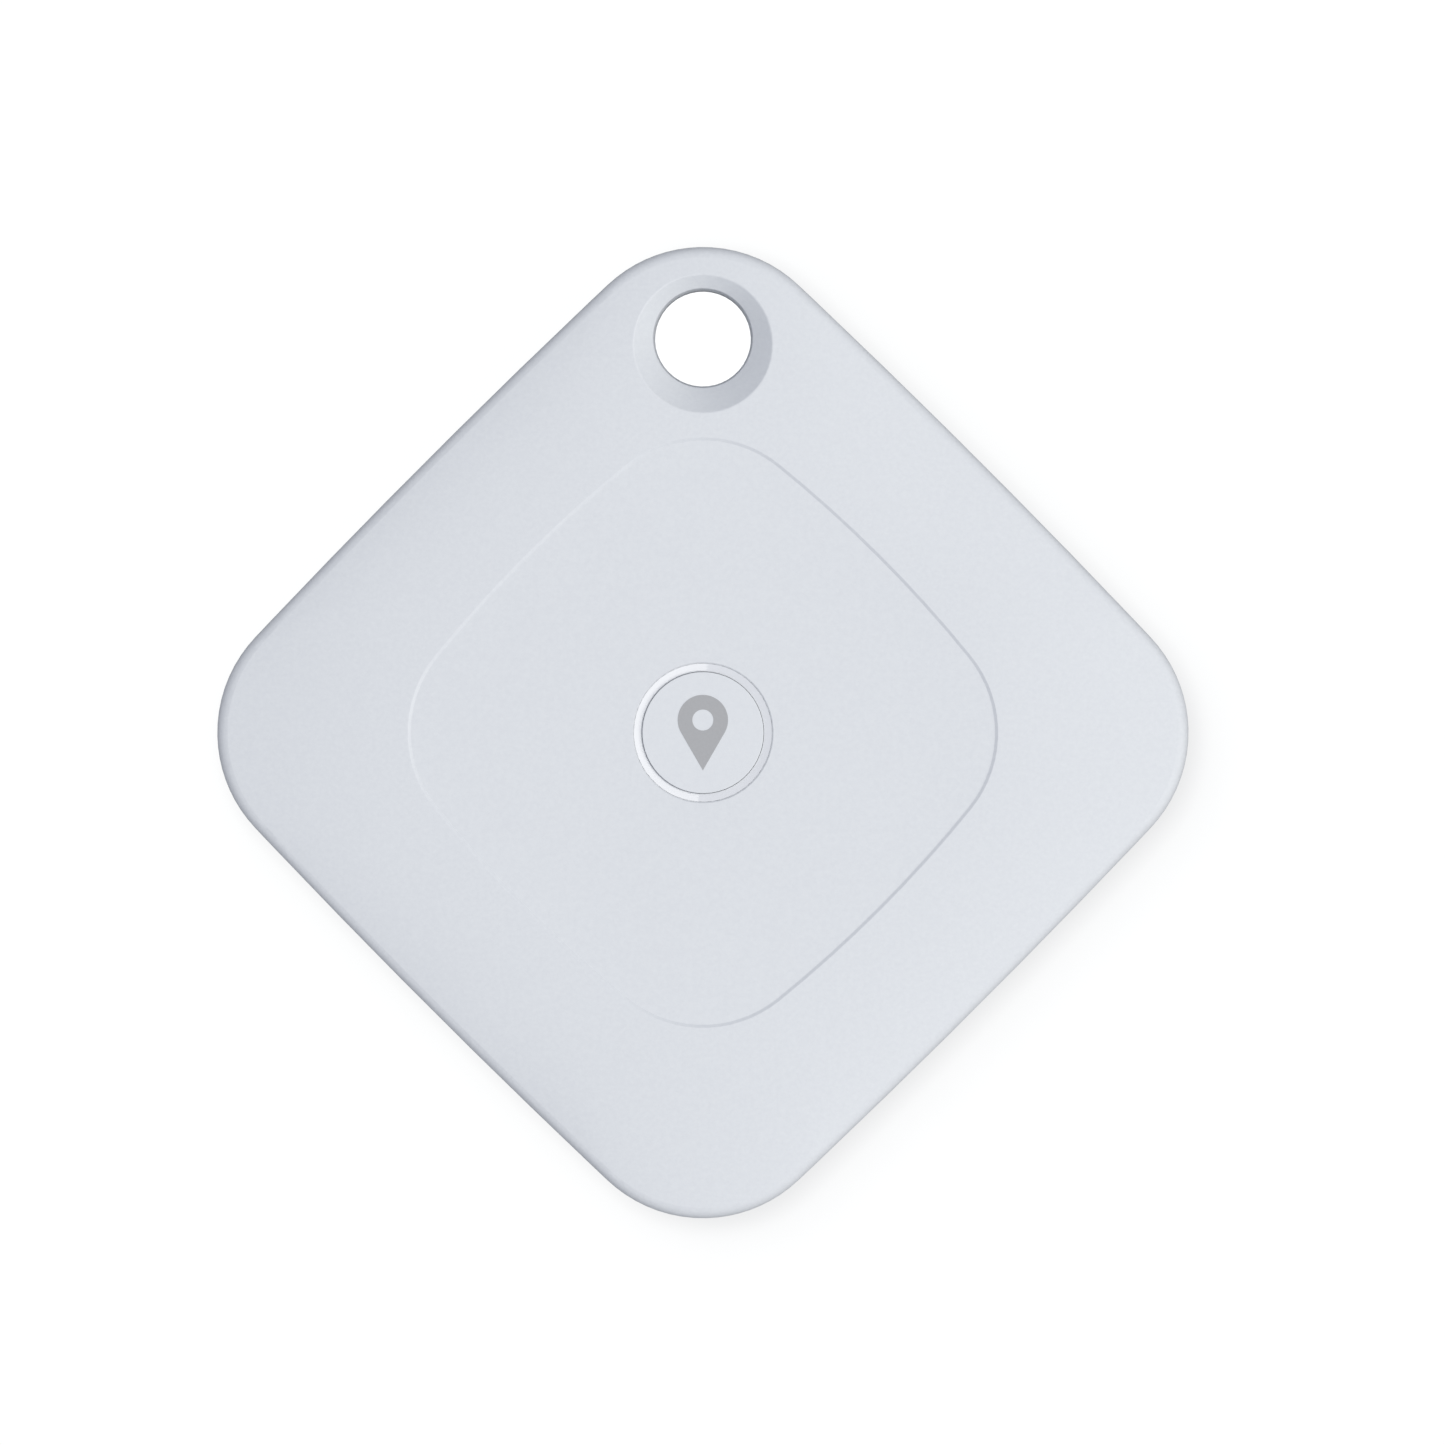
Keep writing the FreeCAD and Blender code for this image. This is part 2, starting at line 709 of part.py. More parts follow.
hole = new_sketch(front, "hole", height="rim_z")
circle(hole, "hole_radius", "hole_along", "hole_along")
pocket(front, "hole_cut", hole, "rim_z")
throat_top = "hole_radius + throat_draft"
cone_cut(front, "hole_throat", "hole_radius", throat_top, "throat_z", "throat_depth")
cone_cut(
    front, "hole_flare", throat_top, f"{throat_top} + flare_width", "flare_z", "flare_depth"
)
rounded(
    front,
    "flare_edge",
    "hole_round",
    lambda edge: beside_hole(edge) and edge.BoundBox.ZMin > amount("ceiling"),
)
groove(
    front,
    "button_bore",
    [
        ("0", "rim_z"),
        ("ring_bore + bore_bevel", "rim_z"),
        ("ring_bore + bore_bevel", "panel_z"),
        ("ring_bore", "panel_z - ring_sink"),
        ("ring_bore", "ring_step + seat_gap"),
        ("ring_pocket", "ring_step + seat_gap"),
        ("ring_pocket", "low_ceiling"),
        ("0", "low_ceiling"),
    ],
)

# ---------------------------------------------------------------- rear shell

rear = new_body("rear_shell", CASE_TURN)
outline = new_sketch(rear, "outline")
case_loop(outline)
pad(rear, "block", outline, "rear_depth")
rounded(rear, "edge", "rear_round", lambda edge: outline_edge(edge, "0"))
rounded(rear, "seam_edge", "seam_round", lambda edge: outline_edge(edge, "rear_depth"))
lip = new_sketch(rear, "lip", height="rear_depth")
case_loop(lip, "wall + lip_gap")
pad(rear, "lip_pad", lip, "lip_rise")
cavity = new_sketch(rear, "cavity", height="lip_top")
case_loop(cavity, "wall + lip_gap + lip_wall")
pocket(rear, "cavity_cut", cavity, "lip_top - rear_floor")
boss_room = new_sketch(rear, "boss_room", height="lip_top")
circle(boss_room, "hole_boss + lip_gap", "hole_along", "hole_along")
pocket(rear, "boss_room_cut", boss_room, "lip_rise")
hole_boss = new_sketch(rear, "hole_boss", height="rear_floor")
circle(hole_boss, "hole_boss", "hole_along", "hole_along")
pad(rear, "hole_boss_pad", hole_boss, "rear_depth - rear_floor")
collar = new_sketch(rear, "collar", height="flange_top + seat_gap")
circle(collar, "collar_out")
pad(rear, "collar_pad", collar, "collar_top - flange_top - seat_gap")
groove(
    rear,
    "door_bore",
    [
        ("0", "0"),
        ("flange_radius + door_gap", "0"),
        ("flange_radius + door_gap", "flange_top + seat_gap"),
        ("collar_bore", "flange_top + seat_gap"),
        ("collar_bore", "lip_top"),
        ("0", "lip_top"),
    ],
)
# Helical slots: each is its lug's path, a little wider and longer than the lug.
slot = new_sketch(rear, "slot", "XZ_Plane")
polygon(
    slot,
    [
        ("skirt_out", "slot_z"),
        ("slot_radius", "slot_z"),
        ("slot_radius", "slot_z + lug_thick + lug_gap + lug_gap"),
        ("skirt_out", "slot_z + lug_thick + lug_gap + lug_gap"),
    ],
)
slot_cut = helix(
    rear,
    "slot_cut",
    "SubtractiveHelix",
    slot,
    "door_turn + lug_arc + slot_spare + slot_spare",
)
around(rear, "slots", [slot_cut], 3, 360)
hole = new_sketch(rear, "hole", height="rear_depth")
circle(hole, "hole_radius", "hole_along", "hole_along")
pocket(rear, "hole_cut", hole, "rear_depth")
cone_cut(
    rear, "hole_flare", "hole_radius + rear_flare", "hole_radius", "0", "rear_floor"
)
rounded(rear, "flare_edge", "hole_round", lambda edge: beside_hole(edge) and level(edge, 0))
# Dimples beside the door: its own dimple faces one when shut and the other when open.
marks = new_sketch(rear, "marks", height="mark_depth")
circle(marks, "mark_radius", "shut_mark", "shut_mark")
circle(marks, "mark_radius", "open_mark_x", "open_mark_y")
pocket(rear, "marks_cut", marks, "mark_depth")

gasket = new_body("shell_gasket", CASE_TURN, "rear_depth")
loops = new_sketch(gasket, "loops")
case_loop(loops, "gasket_inset + seat_gap")
case_loop(loops, "gasket_inset + gasket_width")
pad(gasket, "cord", loops, "gasket_depth - seat_gap")

# ---------------------------------------------------------------- button

button = new_body("button_cap")
turned(
    button,
    "cap",
    [
        ("0", "button_z"),
        ("button_radius + button_flange", "button_z"),
        ("button_radius + button_flange", "button_step"),
        ("button_radius", "button_step"),
        ("button_radius", "panel_z"),
        ("0", "panel_z"),
    ],
)
rounded(
    button,
    "crown",
    "button_round",
    lambda edge: round_rim(edge, "panel_z", "button_radius"),
)

ring = new_body("button_ring")
turned(
    ring,
    "ring",
    [
        ("ring_in", "ring_z"),
        ("ring_flange_out", "ring_z"),
        ("ring_flange_out", "ring_step"),
        ("ring_out", "ring_step"),
        ("ring_out", "panel_z - ring_sink"),
        ("ring_in", "panel_z - ring_sink - ring_dish"),
    ],
)

seal = new_body("button_seal")
turned(
    seal,
    "seal",
    [
        ("0", "seal_z"),
        ("seal_pad_radius", "seal_z"),
        ("seal_pad_radius", "seal_z + seal_pad - seal_web"),
        ("seal_span", "seal_z + seal_pad - seal_web"),
        ("seal_span", "rim_seat"),
        ("seal_span + seal_rim_width", "rim_seat"),
        ("seal_span + seal_rim_width", "rim_seat + seal_rim_thick"),
        ("seal_span", "rim_seat + seal_rim_thick"),
        ("seal_span", "seal_z + seal_pad"),
        ("0", "seal_z + seal_pad"),
    ],
)

# ---------------------------------------------------------------- circuit board

board = new_body("main_board", CASE_TURN, "board_z")
loops = new_sketch(board, "outline")
bowed_square(
    loops, "half_width - board_inset", "side_radius - board_inset", "board_corner"
)
pad(board, "laminate", loops, "board_thick")
notch = new_sketch(board, "notch", height="board_thick")
circle(notch, "hole_boss + frame_gap", "hole_along", "hole_along")
pocket(board, "notch_cut", notch, "board_thick")
holes = new_sketch(board, "screw_holes", height="board_thick")
for x, y in SCREW_CORNERS:
    circle(holes, "screw_hole", x, y)
pocket(board, "screw_hole_cut", holes, "board_thick")


def on_board(body, along, across):
    """Stand a body on the board, at a place measured along and across its sides."""
    body.setExpression("Placement.Base.x", f"({along} - {across}) / sqrt(2)")
    body.setExpression("Placement.Base.y", f"({along} + {across}) / sqrt(2)")


for part_name in BOARD_PARTS:
    chip = new_body(part_name, CASE_TURN, "board_top")
    on_board(chip, f"sizes.{part_name}_along", f"sizes.{part_name}_across")
    case = new_sketch(chip, "outline")
    rectangle(case, "0", "0", f"{part_name}_half_length", f"{part_name}_half_width")
    pad(chip, "case", case, f"{part_name}_height")

for node, rows in CHIP_ROWS.items():
    chips = new_body(node, CASE_TURN, "board_top")
    for row, (count, *_) in rows.items():
        outlines = new_sketch(chips, row)
        for steps in range(count):
            along = " + ".join([f"{row}_along"] + [f"{row}_step_along"] * steps)
            across = " + ".join([f"{row}_across"] + [f"{row}_step_across"] * steps)
            rectangle(outlines, along, across, f"{row}_half_length", f"{row}_half_width")
        pad(chips, f"{row}_pad", outlines, f"{row}_height")

# ---------------------------------------------------------------- battery frame and screws

frame = new_body("battery_frame")
turned(
    frame,
    "holder",
    [
        ("frame_in", "collar_top + frame_foot_gap"),
        ("frame_out", "collar_top + frame_foot_gap"),
        ("frame_out", "board_z - seat_gap"),
        ("frame_in - frame_ledge", "board_z - seat_gap"),
        ("frame_in - frame_ledge", "cell_top + seat_gap"),
        ("frame_in", "cell_top + seat_gap"),
    ],
)
tongue = new_sketch(frame, "tongue", height="board_z - seat_gap - tongue_thick")
root = "0 - frame_out + frame_gap"
end = "0 - screw_distance - tongue_end"
polygon(
    tongue,
    [
        (end, "0 - tongue_half"),
        (root, "0 - tongue_half"),
        (root, "tongue_half"),
        (end, "tongue_half"),
    ],
)
circle(tongue, "screw_hole", "0 - screw_distance")
tongue_pad = pad(frame, "tongue_pad", tongue, "tongue_thick")
around(frame, "tongues", [tongue_pad], 3, 180)
window = new_sketch(frame, "contact_window", height="board_z - seat_gap")
polygon(
    window,
    [
        ("frame_in - frame_ledge - window_spare", "0 - contact_half - frame_gap"),
        ("frame_in + contact_foot + frame_ledge", "0 - contact_half - frame_gap"),
        ("frame_in + contact_foot + frame_ledge", "contact_half + frame_gap"),
        ("frame_in - frame_ledge - window_spare", "contact_half + frame_gap"),
    ],
)
pocket(frame, "contact_window_cut", window, "board_z - collar_top - frame_foot_gap - strip")

screws = new_body("frame_screws", CASE_TURN, "board_z - seat_gap - tongue_thick")
heads = new_sketch(screws, "heads", height="0 - screw_head_thick")
for x, y in SCREW_CORNERS:
    circle(heads, "screw_head", x, y)
pad(screws, "head_pad", heads, "screw_head_thick")
shanks = new_sketch(screws, "shanks", height="0 - seat_gap")
for x, y in SCREW_CORNERS:
    circle(shanks, "screw_radius", x, y)
pad(screws, "shank_pad", shanks, "tongue_thick + seat_gap + board_thick + screw_bite")
crosses = new_sketch(screws, "crosses", height="screw_cross_depth - screw_head_thick")
for x, y in SCREW_CORNERS:
    long_arm, arm = "screw_cross_long", "screw_cross_wide"
    polygon(
        crosses,
        [
            (f"{x} - {long_arm}", f"{y} - {arm}"),
            (f"{x} - {arm}", f"{y} - {arm}"),
            (f"{x} - {arm}", f"{y} - {long_arm}"),
            (f"{x} + {arm}", f"{y} - {long_arm}"),
            (f"{x} + {arm}", f"{y} - {arm}"),
            (f"{x} + {long_arm}", f"{y} - {arm}"),
            (f"{x} + {long_arm}", f"{y} + {arm}"),
            (f"{x} + {arm}", f"{y} + {arm}"),
            (f"{x} + {arm}", f"{y} + {long_arm}"),
            (f"{x} - {arm}", f"{y} + {long_arm}"),
            (f"{x} - {arm}", f"{y} + {arm}"),
            (f"{x} - {long_arm}", f"{y} + {arm}"),
        ],
    )
pocket(screws, "cross_cut", crosses, "screw_cross_depth")

# ---------------------------------------------------------------- coin cell

can = new_body("coin_cell_can", lift="cell_z")
turned(
    can,
    "can",
    [
        ("0", "0"),
        ("cell_radius", "0"),
        ("cell_radius", "can_top - crimp_drop"),
        ("cap_radius + cap_wall", "can_top"),
        ("cap_radius + cap_wall", "can_top - crimp_thick"),
        ("cell_radius - can_wall", "can_top - crimp_thick - crimp_thick"),
        ("cell_radius - can_wall", "can_wall"),
        ("0", "can_wall"),
    ],
)
rounded(
    can, "edge", "can_wall - seat_gap", lambda edge: round_rim(edge, "0", "cell_radius")
)
cell_ring = new_body("coin_cell_gasket", lift="cell_z")
seal_out = "cell_radius - can_wall - cap_skirt_gap"
seal_in = "cell_radius - can_wall - cell_gasket"
turned(
    cell_ring,
    "gasket",
    [
        (seal_in, "can_wall + seat_gap"),
        (seal_out, "can_wall + seat_gap"),
        (seal_out, "can_top - cell_gasket_drop"),
        (seal_in, "can_top - cell_gasket_drop"),
    ],
)
cap = new_body("coin_cell_cap", lift="cell_z")
turned(
    cap,
    "cap",
    [
        ("0", "cell_height"),
        ("cap_radius - cap_bevel", "cell_height"),
        ("cap_radius", "cell_height - cap_bevel"),
        ("cap_radius", "can_top - cap_shoulder_drop"),
        ("cap_skirt", "can_top - cap_shoulder_drop - cap_shoulder_fall"),
        ("cap_skirt", "can_wall + cap_foot_gap"),
        ("cap_skirt - cap_wall", "can_wall + cap_foot_gap"),
        ("cap_skirt - cap_wall", "can_top - cap_shoulder_under"),
        ("cap_radius - cap_wall", "can_top - cap_shoulder_under"),
        ("cap_radius - cap_wall", "cell_height - cap_wall"),
        ("0", "cell_height - cap_wall"),
    ],
)
for node, radius, height, thick in (
    ("cell_cathode", "pack_radius", "can_wall + seat_gap",
     "separator_z - seat_gap - can_wall - seat_gap"),
    ("cell_separator", "pack_radius", "separator_z", "separator_thick"),
    ("cell_anode", "cap_radius - cap_wall - seat_gap", "anode_z",
     "anode_depth - cap_wall - seat_gap"),
):
    layer = new_body(node, lift="cell_z")
    disc = new_sketch(layer, "disc", height=height)
    circle(disc, radius)
    pad(layer, "disc_pad", disc, thick)

# ---------------------------------------------------------------- contacts

positive = new_body("positive_contact")
side_view = new_sketch(positive, "strip", "XZ_Plane")
upright = "frame_in + contact_out"
tail = f"{upright} - contact_tail_in"
touch = "cell_radius + seat_gap"
polygon(
    side_view,
    [
        (f"{upright} + contact_foot", "board_z - seat_gap"),
        (upright, "board_z - seat_gap"),
        (upright, "cell_top - contact_knee_drop"),
        (touch, "cell_top - contact_touch_drop"),
        (tail, "cell_top - contact_tail_drop"),
        (f"{tail} + strip", "cell_top - contact_tail_drop"),
        (f"{touch} + strip + contact_bend", "cell_top - contact_touch_drop"),
        (f"{upright} + strip", "cell_top - contact_knee_drop - contact_bend"),
        (f"{upright} + strip", "board_z - seat_gap - strip"),
        (f"{upright} + contact_foot", "board_z - seat_gap - strip"),
    ],
)
both_ways(positive, "strip_pad", side_view, "contact_half")

negative = new_body("negative_contact")
hub = new_sketch(negative, "hub", height="board_z - seat_gap - strip")
circle(hub, "spring_hub")
pad(negative, "hub_pad", hub, "strip")
arm = new_sketch(negative, "arm", "XZ_Plane")
polygon(
    arm,
    [
        ("spring_hub - arm_root", "board_z - seat_gap"),
        ("spring_hub + arm_level", "board_z - seat_gap"),
        ("spring_reach", "cell_top + seat_gap + strip"),
        ("spring_reach + arm_toe", "cell_top + seat_gap + strip + arm_toe_lift"),
        ("spring_reach + arm_toe", "cell_top + seat_gap + arm_toe_lift"),
        ("spring_reach", "cell_top + seat_gap"),
        ("spring_hub + arm_level", "board_z - seat_gap - strip"),
        ("spring_hub - arm_root", "board_z - seat_gap - strip"),
    ],
)
arm_pad = both_ways(negative, "arm_pad", arm, "spring_half")
around(negative, "arms", [arm_pad], 3, 360)

# ---------------------------------------------------------------- switch

base = new_body("switch_base", CASE_TURN, "board_top")
square = new_sketch(base, "outline")
rectangle(square, "0", "0", "switch_half", "switch_half")
pad(base, "block", square, "switch_base")
well = new_sketch(base, "well", height="switch_base")
circle(well, "switch_well")
pocket(base, "well_cut", well, "switch_base - switch_floor")

cover = new_body("switch_cover", CASE_TURN, "board_top")
square = new_sketch(cover, "plate", height="switch_base")
rectangle(square, "0", "0", "switch_half + cover_thick + seat_gap", "switch_half")
circle(square, "plunger_radius + plunger_gap")
pad(cover, "plate_pad", square, "cover_thick")
tabs = new_sketch(cover, "tabs", height="switch_base - cover_drop")
tab_near = "switch_half + seat_gap"
tab_far = "switch_half + seat_gap + cover_thick"
for near, far in ((tab_near, tab_far), (minus(tab_far), minus(tab_near))):
    polygon(
        tabs,
        [
            (near, "0 - cover_tab_half"),
            (far, "0 - cover_tab_half"),
            (far, "cover_tab_half"),
            (near, "cover_tab_half"),
        ],
    )
pad(cover, "tab_pad", tabs, "cover_drop + cover_thick")

plunger = new_body("switch_plunger", lift="board_top")
foot_z = "switch_base - seat_gap - plunger_flange_thick"
turned(
    plunger,
    "plunger",
    [
        ("0", foot_z),
        ("plunger_radius + plunger_flange", foot_z),
        ("plunger_radius + plunger_flange", "switch_base - seat_gap"),
        ("plunger_radius", "switch_base - seat_gap"),
        ("plunger_radius", "plunger_top - board_top"),
        ("0", "plunger_top - board_top"),
    ],
)
snap = new_body("switch_dome", lift="board_top")
snap_z = "switch_floor + seat_gap"
turned(
    snap,
    "dome",
    [
        ("snap_radius", snap_z),
        ("snap_radius", f"{snap_z} + snap_metal"),
        ("snap_radius - snap_shoulder", f"{snap_z} + snap_rise - snap_bow"),
        ("0", f"{snap_z} + snap_rise"),
        ("0", f"{snap_z} + snap_rise - snap_metal"),
        ("snap_radius - snap_shoulder", f"{snap_z} + snap_rise - snap_metal - snap_bow"),
    ],
)

# ---------------------------------------------------------------- sounder


def sounder_body(name, height):
    body = new_body(name, lift=height)
    body.setExpression("Placement.Base.y", "-sizes.piezo_out")
    return body


glue = sounder_body("piezo_adhesive", "glue_z")
loops = new_sketch(glue, "loops")
circle(loops, "piezo_radius")
circle(loops, "piezo_radius - piezo_glue_width")
pad(glue, "bead", loops, "piezo_glue")
plate = sounder_body("piezo_plate", "plate_z")
disc = new_sketch(plate, "disc")
circle(disc, "piezo_radius")
pad(plate, "disc_pad", disc, "piezo_plate")
ceramic = sounder_body("piezo_ceramic", "ceramic_z")
disc = new_sketch(ceramic, "disc")
circle(disc, "ceramic_radius")
pad(ceramic, "disc_pad", disc, "piezo_ceramic")

springs = sounder_body("piezo_springs", "board_top")
finger = new_sketch(springs, "fingers", "XZ_Plane")
for tip_x, tip_z in (("0", "ceramic_z"), ("piezo_radius - finger_inset", "plate_z")):
    top = f"{tip_z} - board_top - seat_gap"
    foot_x = f"{tip_x} - finger_run"
    polygon(
        finger,
        [
            (foot_x, "0"),
            (f"{foot_x} + finger_foot", "0"),
            (f"{foot_x} + finger_foot", "finger_thick"),
            (f"{foot_x} + finger_bend", "finger_thick"),
            (f"{tip_x} + finger_toe", top),
            (f"{tip_x} - finger_top", top),
            (foot_x, "finger_heel"),
        ],
    )
both_ways(springs, "finger_pad", finger, "finger_half")

# ---------------------------------------------------------------- rear door

door = new_body("battery_door")
turned(
    door,
    "cup",
    [
        ("0", "door_sink"),
        ("flange_radius", "door_sink"),
        ("flange_radius", "flange_top"),
        ("skirt_out", "flange_top"),
        ("skirt_out", "groove_z"),
        ("groove_radius", "groove_z"),
        ("groove_radius", "groove_z + groove_width"),
        ("skirt_out", "groove_z + groove_width"),
        ("skirt_out", "skirt_top"),
        ("skirt_in", "skirt_top"),
        ("skirt_in", "rear_floor"),
        ("0", "rear_floor"),
    ],
)
rounded(
    door, "edge", "door_round", lambda edge: round_rim(edge, "door_sink", "flange_radius")
)
lug = new_sketch(door, "lug", "XZ_Plane")
polygon(
    lug,
    [
        ("skirt_out - lug_root", "lug_z"),
        ("lug_radius", "lug_z"),
        ("lug_radius", "lug_z + lug_thick"),
        ("skirt_out - lug_root", "lug_z + lug_thick"),
    ],
)
lug_pad = helix(door, "lug_pad", "AdditiveHelix", lug, "lug_arc")
around(door, "lugs", [lug_pad], 3, 360)
# Closed, the door's lugs rest at the upper ends of the slots; the coin slot and the
# dimple are drawn turned back by as much, so that they line up with the case.
DOOR_SHUT = CASE_TURN + SIZES["door_turn"] + SIZES["slot_spare"]
SQUARED = FreeCAD.Rotation(UP, -DOOR_SHUT)
coin_slot = new_sketch(door, "coin_slot", height="door_sink + coin_slot_depth")
coin_slot.AttachmentOffset = FreeCAD.Placement(coin_slot.AttachmentOffset.Base, SQUARED)
rectangle(coin_slot, "0", "0", "coin_slot_half", "coin_slot_side")
pocket(door, "coin_slot_cut", coin_slot, "coin_slot_depth")
slot_corner = math.hypot(amount("coin_slot_half"), amount("coin_slot_side"))
rounded(
    door,
    "coin_slot_ends",
    "coin_slot_side - seat_gap",
    lambda edge: abs(edge.BoundBox.ZLength - amount("coin_slot_depth")) < SAME
    and abs(reach(edge) - slot_corner) < SAME,
)
mark = new_sketch(door, "mark", height="door_sink + mark_depth")
mark.AttachmentOffset = FreeCAD.Placement(mark.AttachmentOffset.Base, SQUARED)
circle(mark, "mark_radius", "0", "flange_radius - mark_margin")
pocket(door, "mark_cut", mark, "mark_depth")
door.Placement = FreeCAD.Placement(FreeCAD.Vector(0, 0, 0), FreeCAD.Rotation(UP, DOOR_SHUT))

o_ring = new_body("door_o_ring")
section = new_sketch(o_ring, "section", "XZ_Plane")
circle(section, "o_ring_section", "o_ring_radius", "o_ring_z")
finish(o_ring, full_turn(o_ring, "cord", "Revolution", section))

# ---------------------------------------------------------------- check and write

doc.recompute()
for item in doc.Objects:
    if {"Invalid", "Error"} & set(item.State):
        raise RuntimeError(f"{item.Name} is {item.State}")
for body in doc.findObjects("PartDesign::Body"):
    shape = body.Shape
    if shape.isNull() or not shape.isValid() or shape.Volume <= 0:
        raise RuntimeError(f"{body.Label} has no sound shape")
    shape.exportStep(f"parts/{body.Label}.step")
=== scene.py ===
import json
import math

import bpy
from mathutils import Euler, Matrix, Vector


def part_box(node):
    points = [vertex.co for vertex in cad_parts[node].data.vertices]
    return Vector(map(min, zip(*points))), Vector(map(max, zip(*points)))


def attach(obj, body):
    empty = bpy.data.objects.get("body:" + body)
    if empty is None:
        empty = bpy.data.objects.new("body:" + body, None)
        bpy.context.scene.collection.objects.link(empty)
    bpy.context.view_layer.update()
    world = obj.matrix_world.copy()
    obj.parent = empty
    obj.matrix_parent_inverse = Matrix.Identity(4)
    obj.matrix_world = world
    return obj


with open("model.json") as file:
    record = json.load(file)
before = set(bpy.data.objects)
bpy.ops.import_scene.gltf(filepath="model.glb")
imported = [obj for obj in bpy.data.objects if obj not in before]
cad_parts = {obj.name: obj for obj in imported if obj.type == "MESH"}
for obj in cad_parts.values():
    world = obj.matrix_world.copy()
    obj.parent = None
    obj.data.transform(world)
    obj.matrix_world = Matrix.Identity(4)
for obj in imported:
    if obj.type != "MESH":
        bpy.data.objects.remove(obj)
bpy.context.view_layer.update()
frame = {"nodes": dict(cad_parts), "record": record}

NODES = frame["nodes"]
MM = 0.001
SAME = 0.001 * MM  # points nearer than this are at one height or on one line
CASE_TURN = math.radians(45)  # the case stands on a corner: its sides run at 45 degrees


# ------------------------------------------------------------------ colour and shader nodes


def linear(hex_colour):
    """An sRGB hex colour as the linear RGBA that a shader takes."""
    channels = [int(hex_colour[i : i + 2], 16) / 255 for i in (1, 3, 5)]
    bent = [c / 12.92 if c <= 0.04045 else ((c + 0.055) / 1.055) ** 2.4 for c in channels]
    return (*bent, 1.0)


def per_mm(size_mm):
    """The texture scale that makes one cell this many millimetres wide."""
    return 1 / (size_mm * MM)


def waves_per_mm(pitch_mm):
    """The wave texture's scale that makes one wave this many millimetres long."""
    return math.tau / 20 * per_mm(pitch_mm)  # the texture draws 20 / tau waves to the unit


def set_up(node, settings, links):
    """Set a node's properties and inputs, and link its inputs to other nodes' outputs."""
    for name, value in settings.items():
        if isinstance(name, str) and name not in node.inputs:
            setattr(node, name, value)
        else:
            node.inputs[name].default_value = value
    for name, source in links.items():
        node.id_data.links.new(source, node.inputs[name])
    return node.outputs


def add_node(tree, kind, settings, links):
    """Add a shader node with its settings and links; returns its outputs."""
    return set_up(tree.nodes.new("ShaderNode" + kind), settings, links)


def new_finish(name):
    """A new material with its node tree and the object coordinates that patterns read."""
    material = bpy.data.materials.new(name)
    material.use_nodes = True
    where = add_node(material.node_tree, "TexCoord", {}, {})["Object"]
    return material, material.node_tree, where


def surface(material, settings, links):
    """Give the material's surface shader its values and its patterns."""
    set_up(material.node_tree.nodes["Principled BSDF"], settings, links)
    return material


def dress(material, *names):
    """Give these CAD nodes the material as their only one."""
    for name in names:
        slots = NODES[name].data.materials
        slots.clear()
        slots.append(material)


# ------------------------------------------------------------------ case finishes


def spark_textured_abs(name, light, dark, roughness):
    """ABS moulded in a spark-eroded tool: an even dry matte with a fine grain and no gloss.

    The real grain is about 0.03 mm; it is drawn at 0.2 mm so that it shows.
    """
    material, tree, where = new_finish(name)
    grain = add_node(
        tree, "TexNoise", {"Scale": per_mm(0.2), "Detail": 3.0, "Roughness": 0.6}, {"Vector": where}
    )["Fac"]
    flow = add_node(
        tree, "TexNoise", {"Scale": per_mm(9.0), "Detail": 1.0}, {"Vector": where}
    )["Fac"]
    speckle = add_node(
        tree, "MapRange", {"From Min": 0.3, "From Max": 0.7}, {"Value": grain}
    )["Result"]
    mottle = add_node(
        tree, "Mix", {"data_type": "FLOAT", 0: 0.3}, {2: speckle, 3: flow}
    )[0]
    tone = add_node(
        tree, "Mix", {"data_type": "RGBA", 6: linear(dark), 7: linear(light)}, {0: mottle}
    )[2]
    dryness = add_node(
        tree, "MapRange", {"To Min": roughness - 0.05, "To Max": roughness + 0.08},
        {"Value": grain},
    )["Result"]
    relief = add_node(
        tree, "Bump", {"Strength": 0.5, "Distance": 0.006 * MM}, {"Height": grain}
    )["Normal"]
    return surface(
        material, {"IOR": 1.52}, {"Base Color": tone, "Roughness": dryness, "Normal": relief}
    )


def polished_acrylic():
    """Milky acrylic with a polished face: pale all through, and it mirrors the lamps."""
    material, tree, where = new_finish("polished_milky_acrylic")
    haze = add_node(
        tree, "TexNoise", {"Scale": per_mm(1.5), "Detail": 2.0}, {"Vector": where}
    )["Fac"]
    tone = add_node(
        tree, "Mix", {"data_type": "RGBA", 6: linear("#DCDEE2"), 7: linear("#E3E5E8")},
        {0: haze},
    )[2]
    polish = add_node(tree, "MapRange", {"To Min": 0.04, "To Max": 0.09}, {"Value": haze})["Result"]
    return surface(
        material,
        {"IOR": 1.49, "Coat Weight": 0.9, "Coat Roughness": 0.03},
        {"Base Color": tone, "Roughness": polish},
    )


def pad_printed_ink():
    """Grey pad-printed ink: a flat dull film with a slightly uneven lay from the soft pad."""
    material, tree, where = new_finish("pad_printed_grey_ink")
    lay = add_node(
        tree, "TexNoise", {"Scale": per_mm(0.12), "Detail": 3.0}, {"Vector": where}
    )["Fac"]
    tone = add_node(
        tree, "Mix", {"data_type": "RGBA", 6: linear("#A2A3A5"), 7: linear("#ABACAE")}, {0: lay}
    )[2]
    relief = add_node(
        tree, "Bump", {"Strength": 0.3, "Distance": 0.003 * MM}, {"Height": lay}
    )["Normal"]
    return surface(
        material, {"Roughness": 0.62, "IOR": 1.5}, {"Base Color": tone, "Normal": relief}
    )


# ------------------------------------------------------------------ rubbers and inner plastics


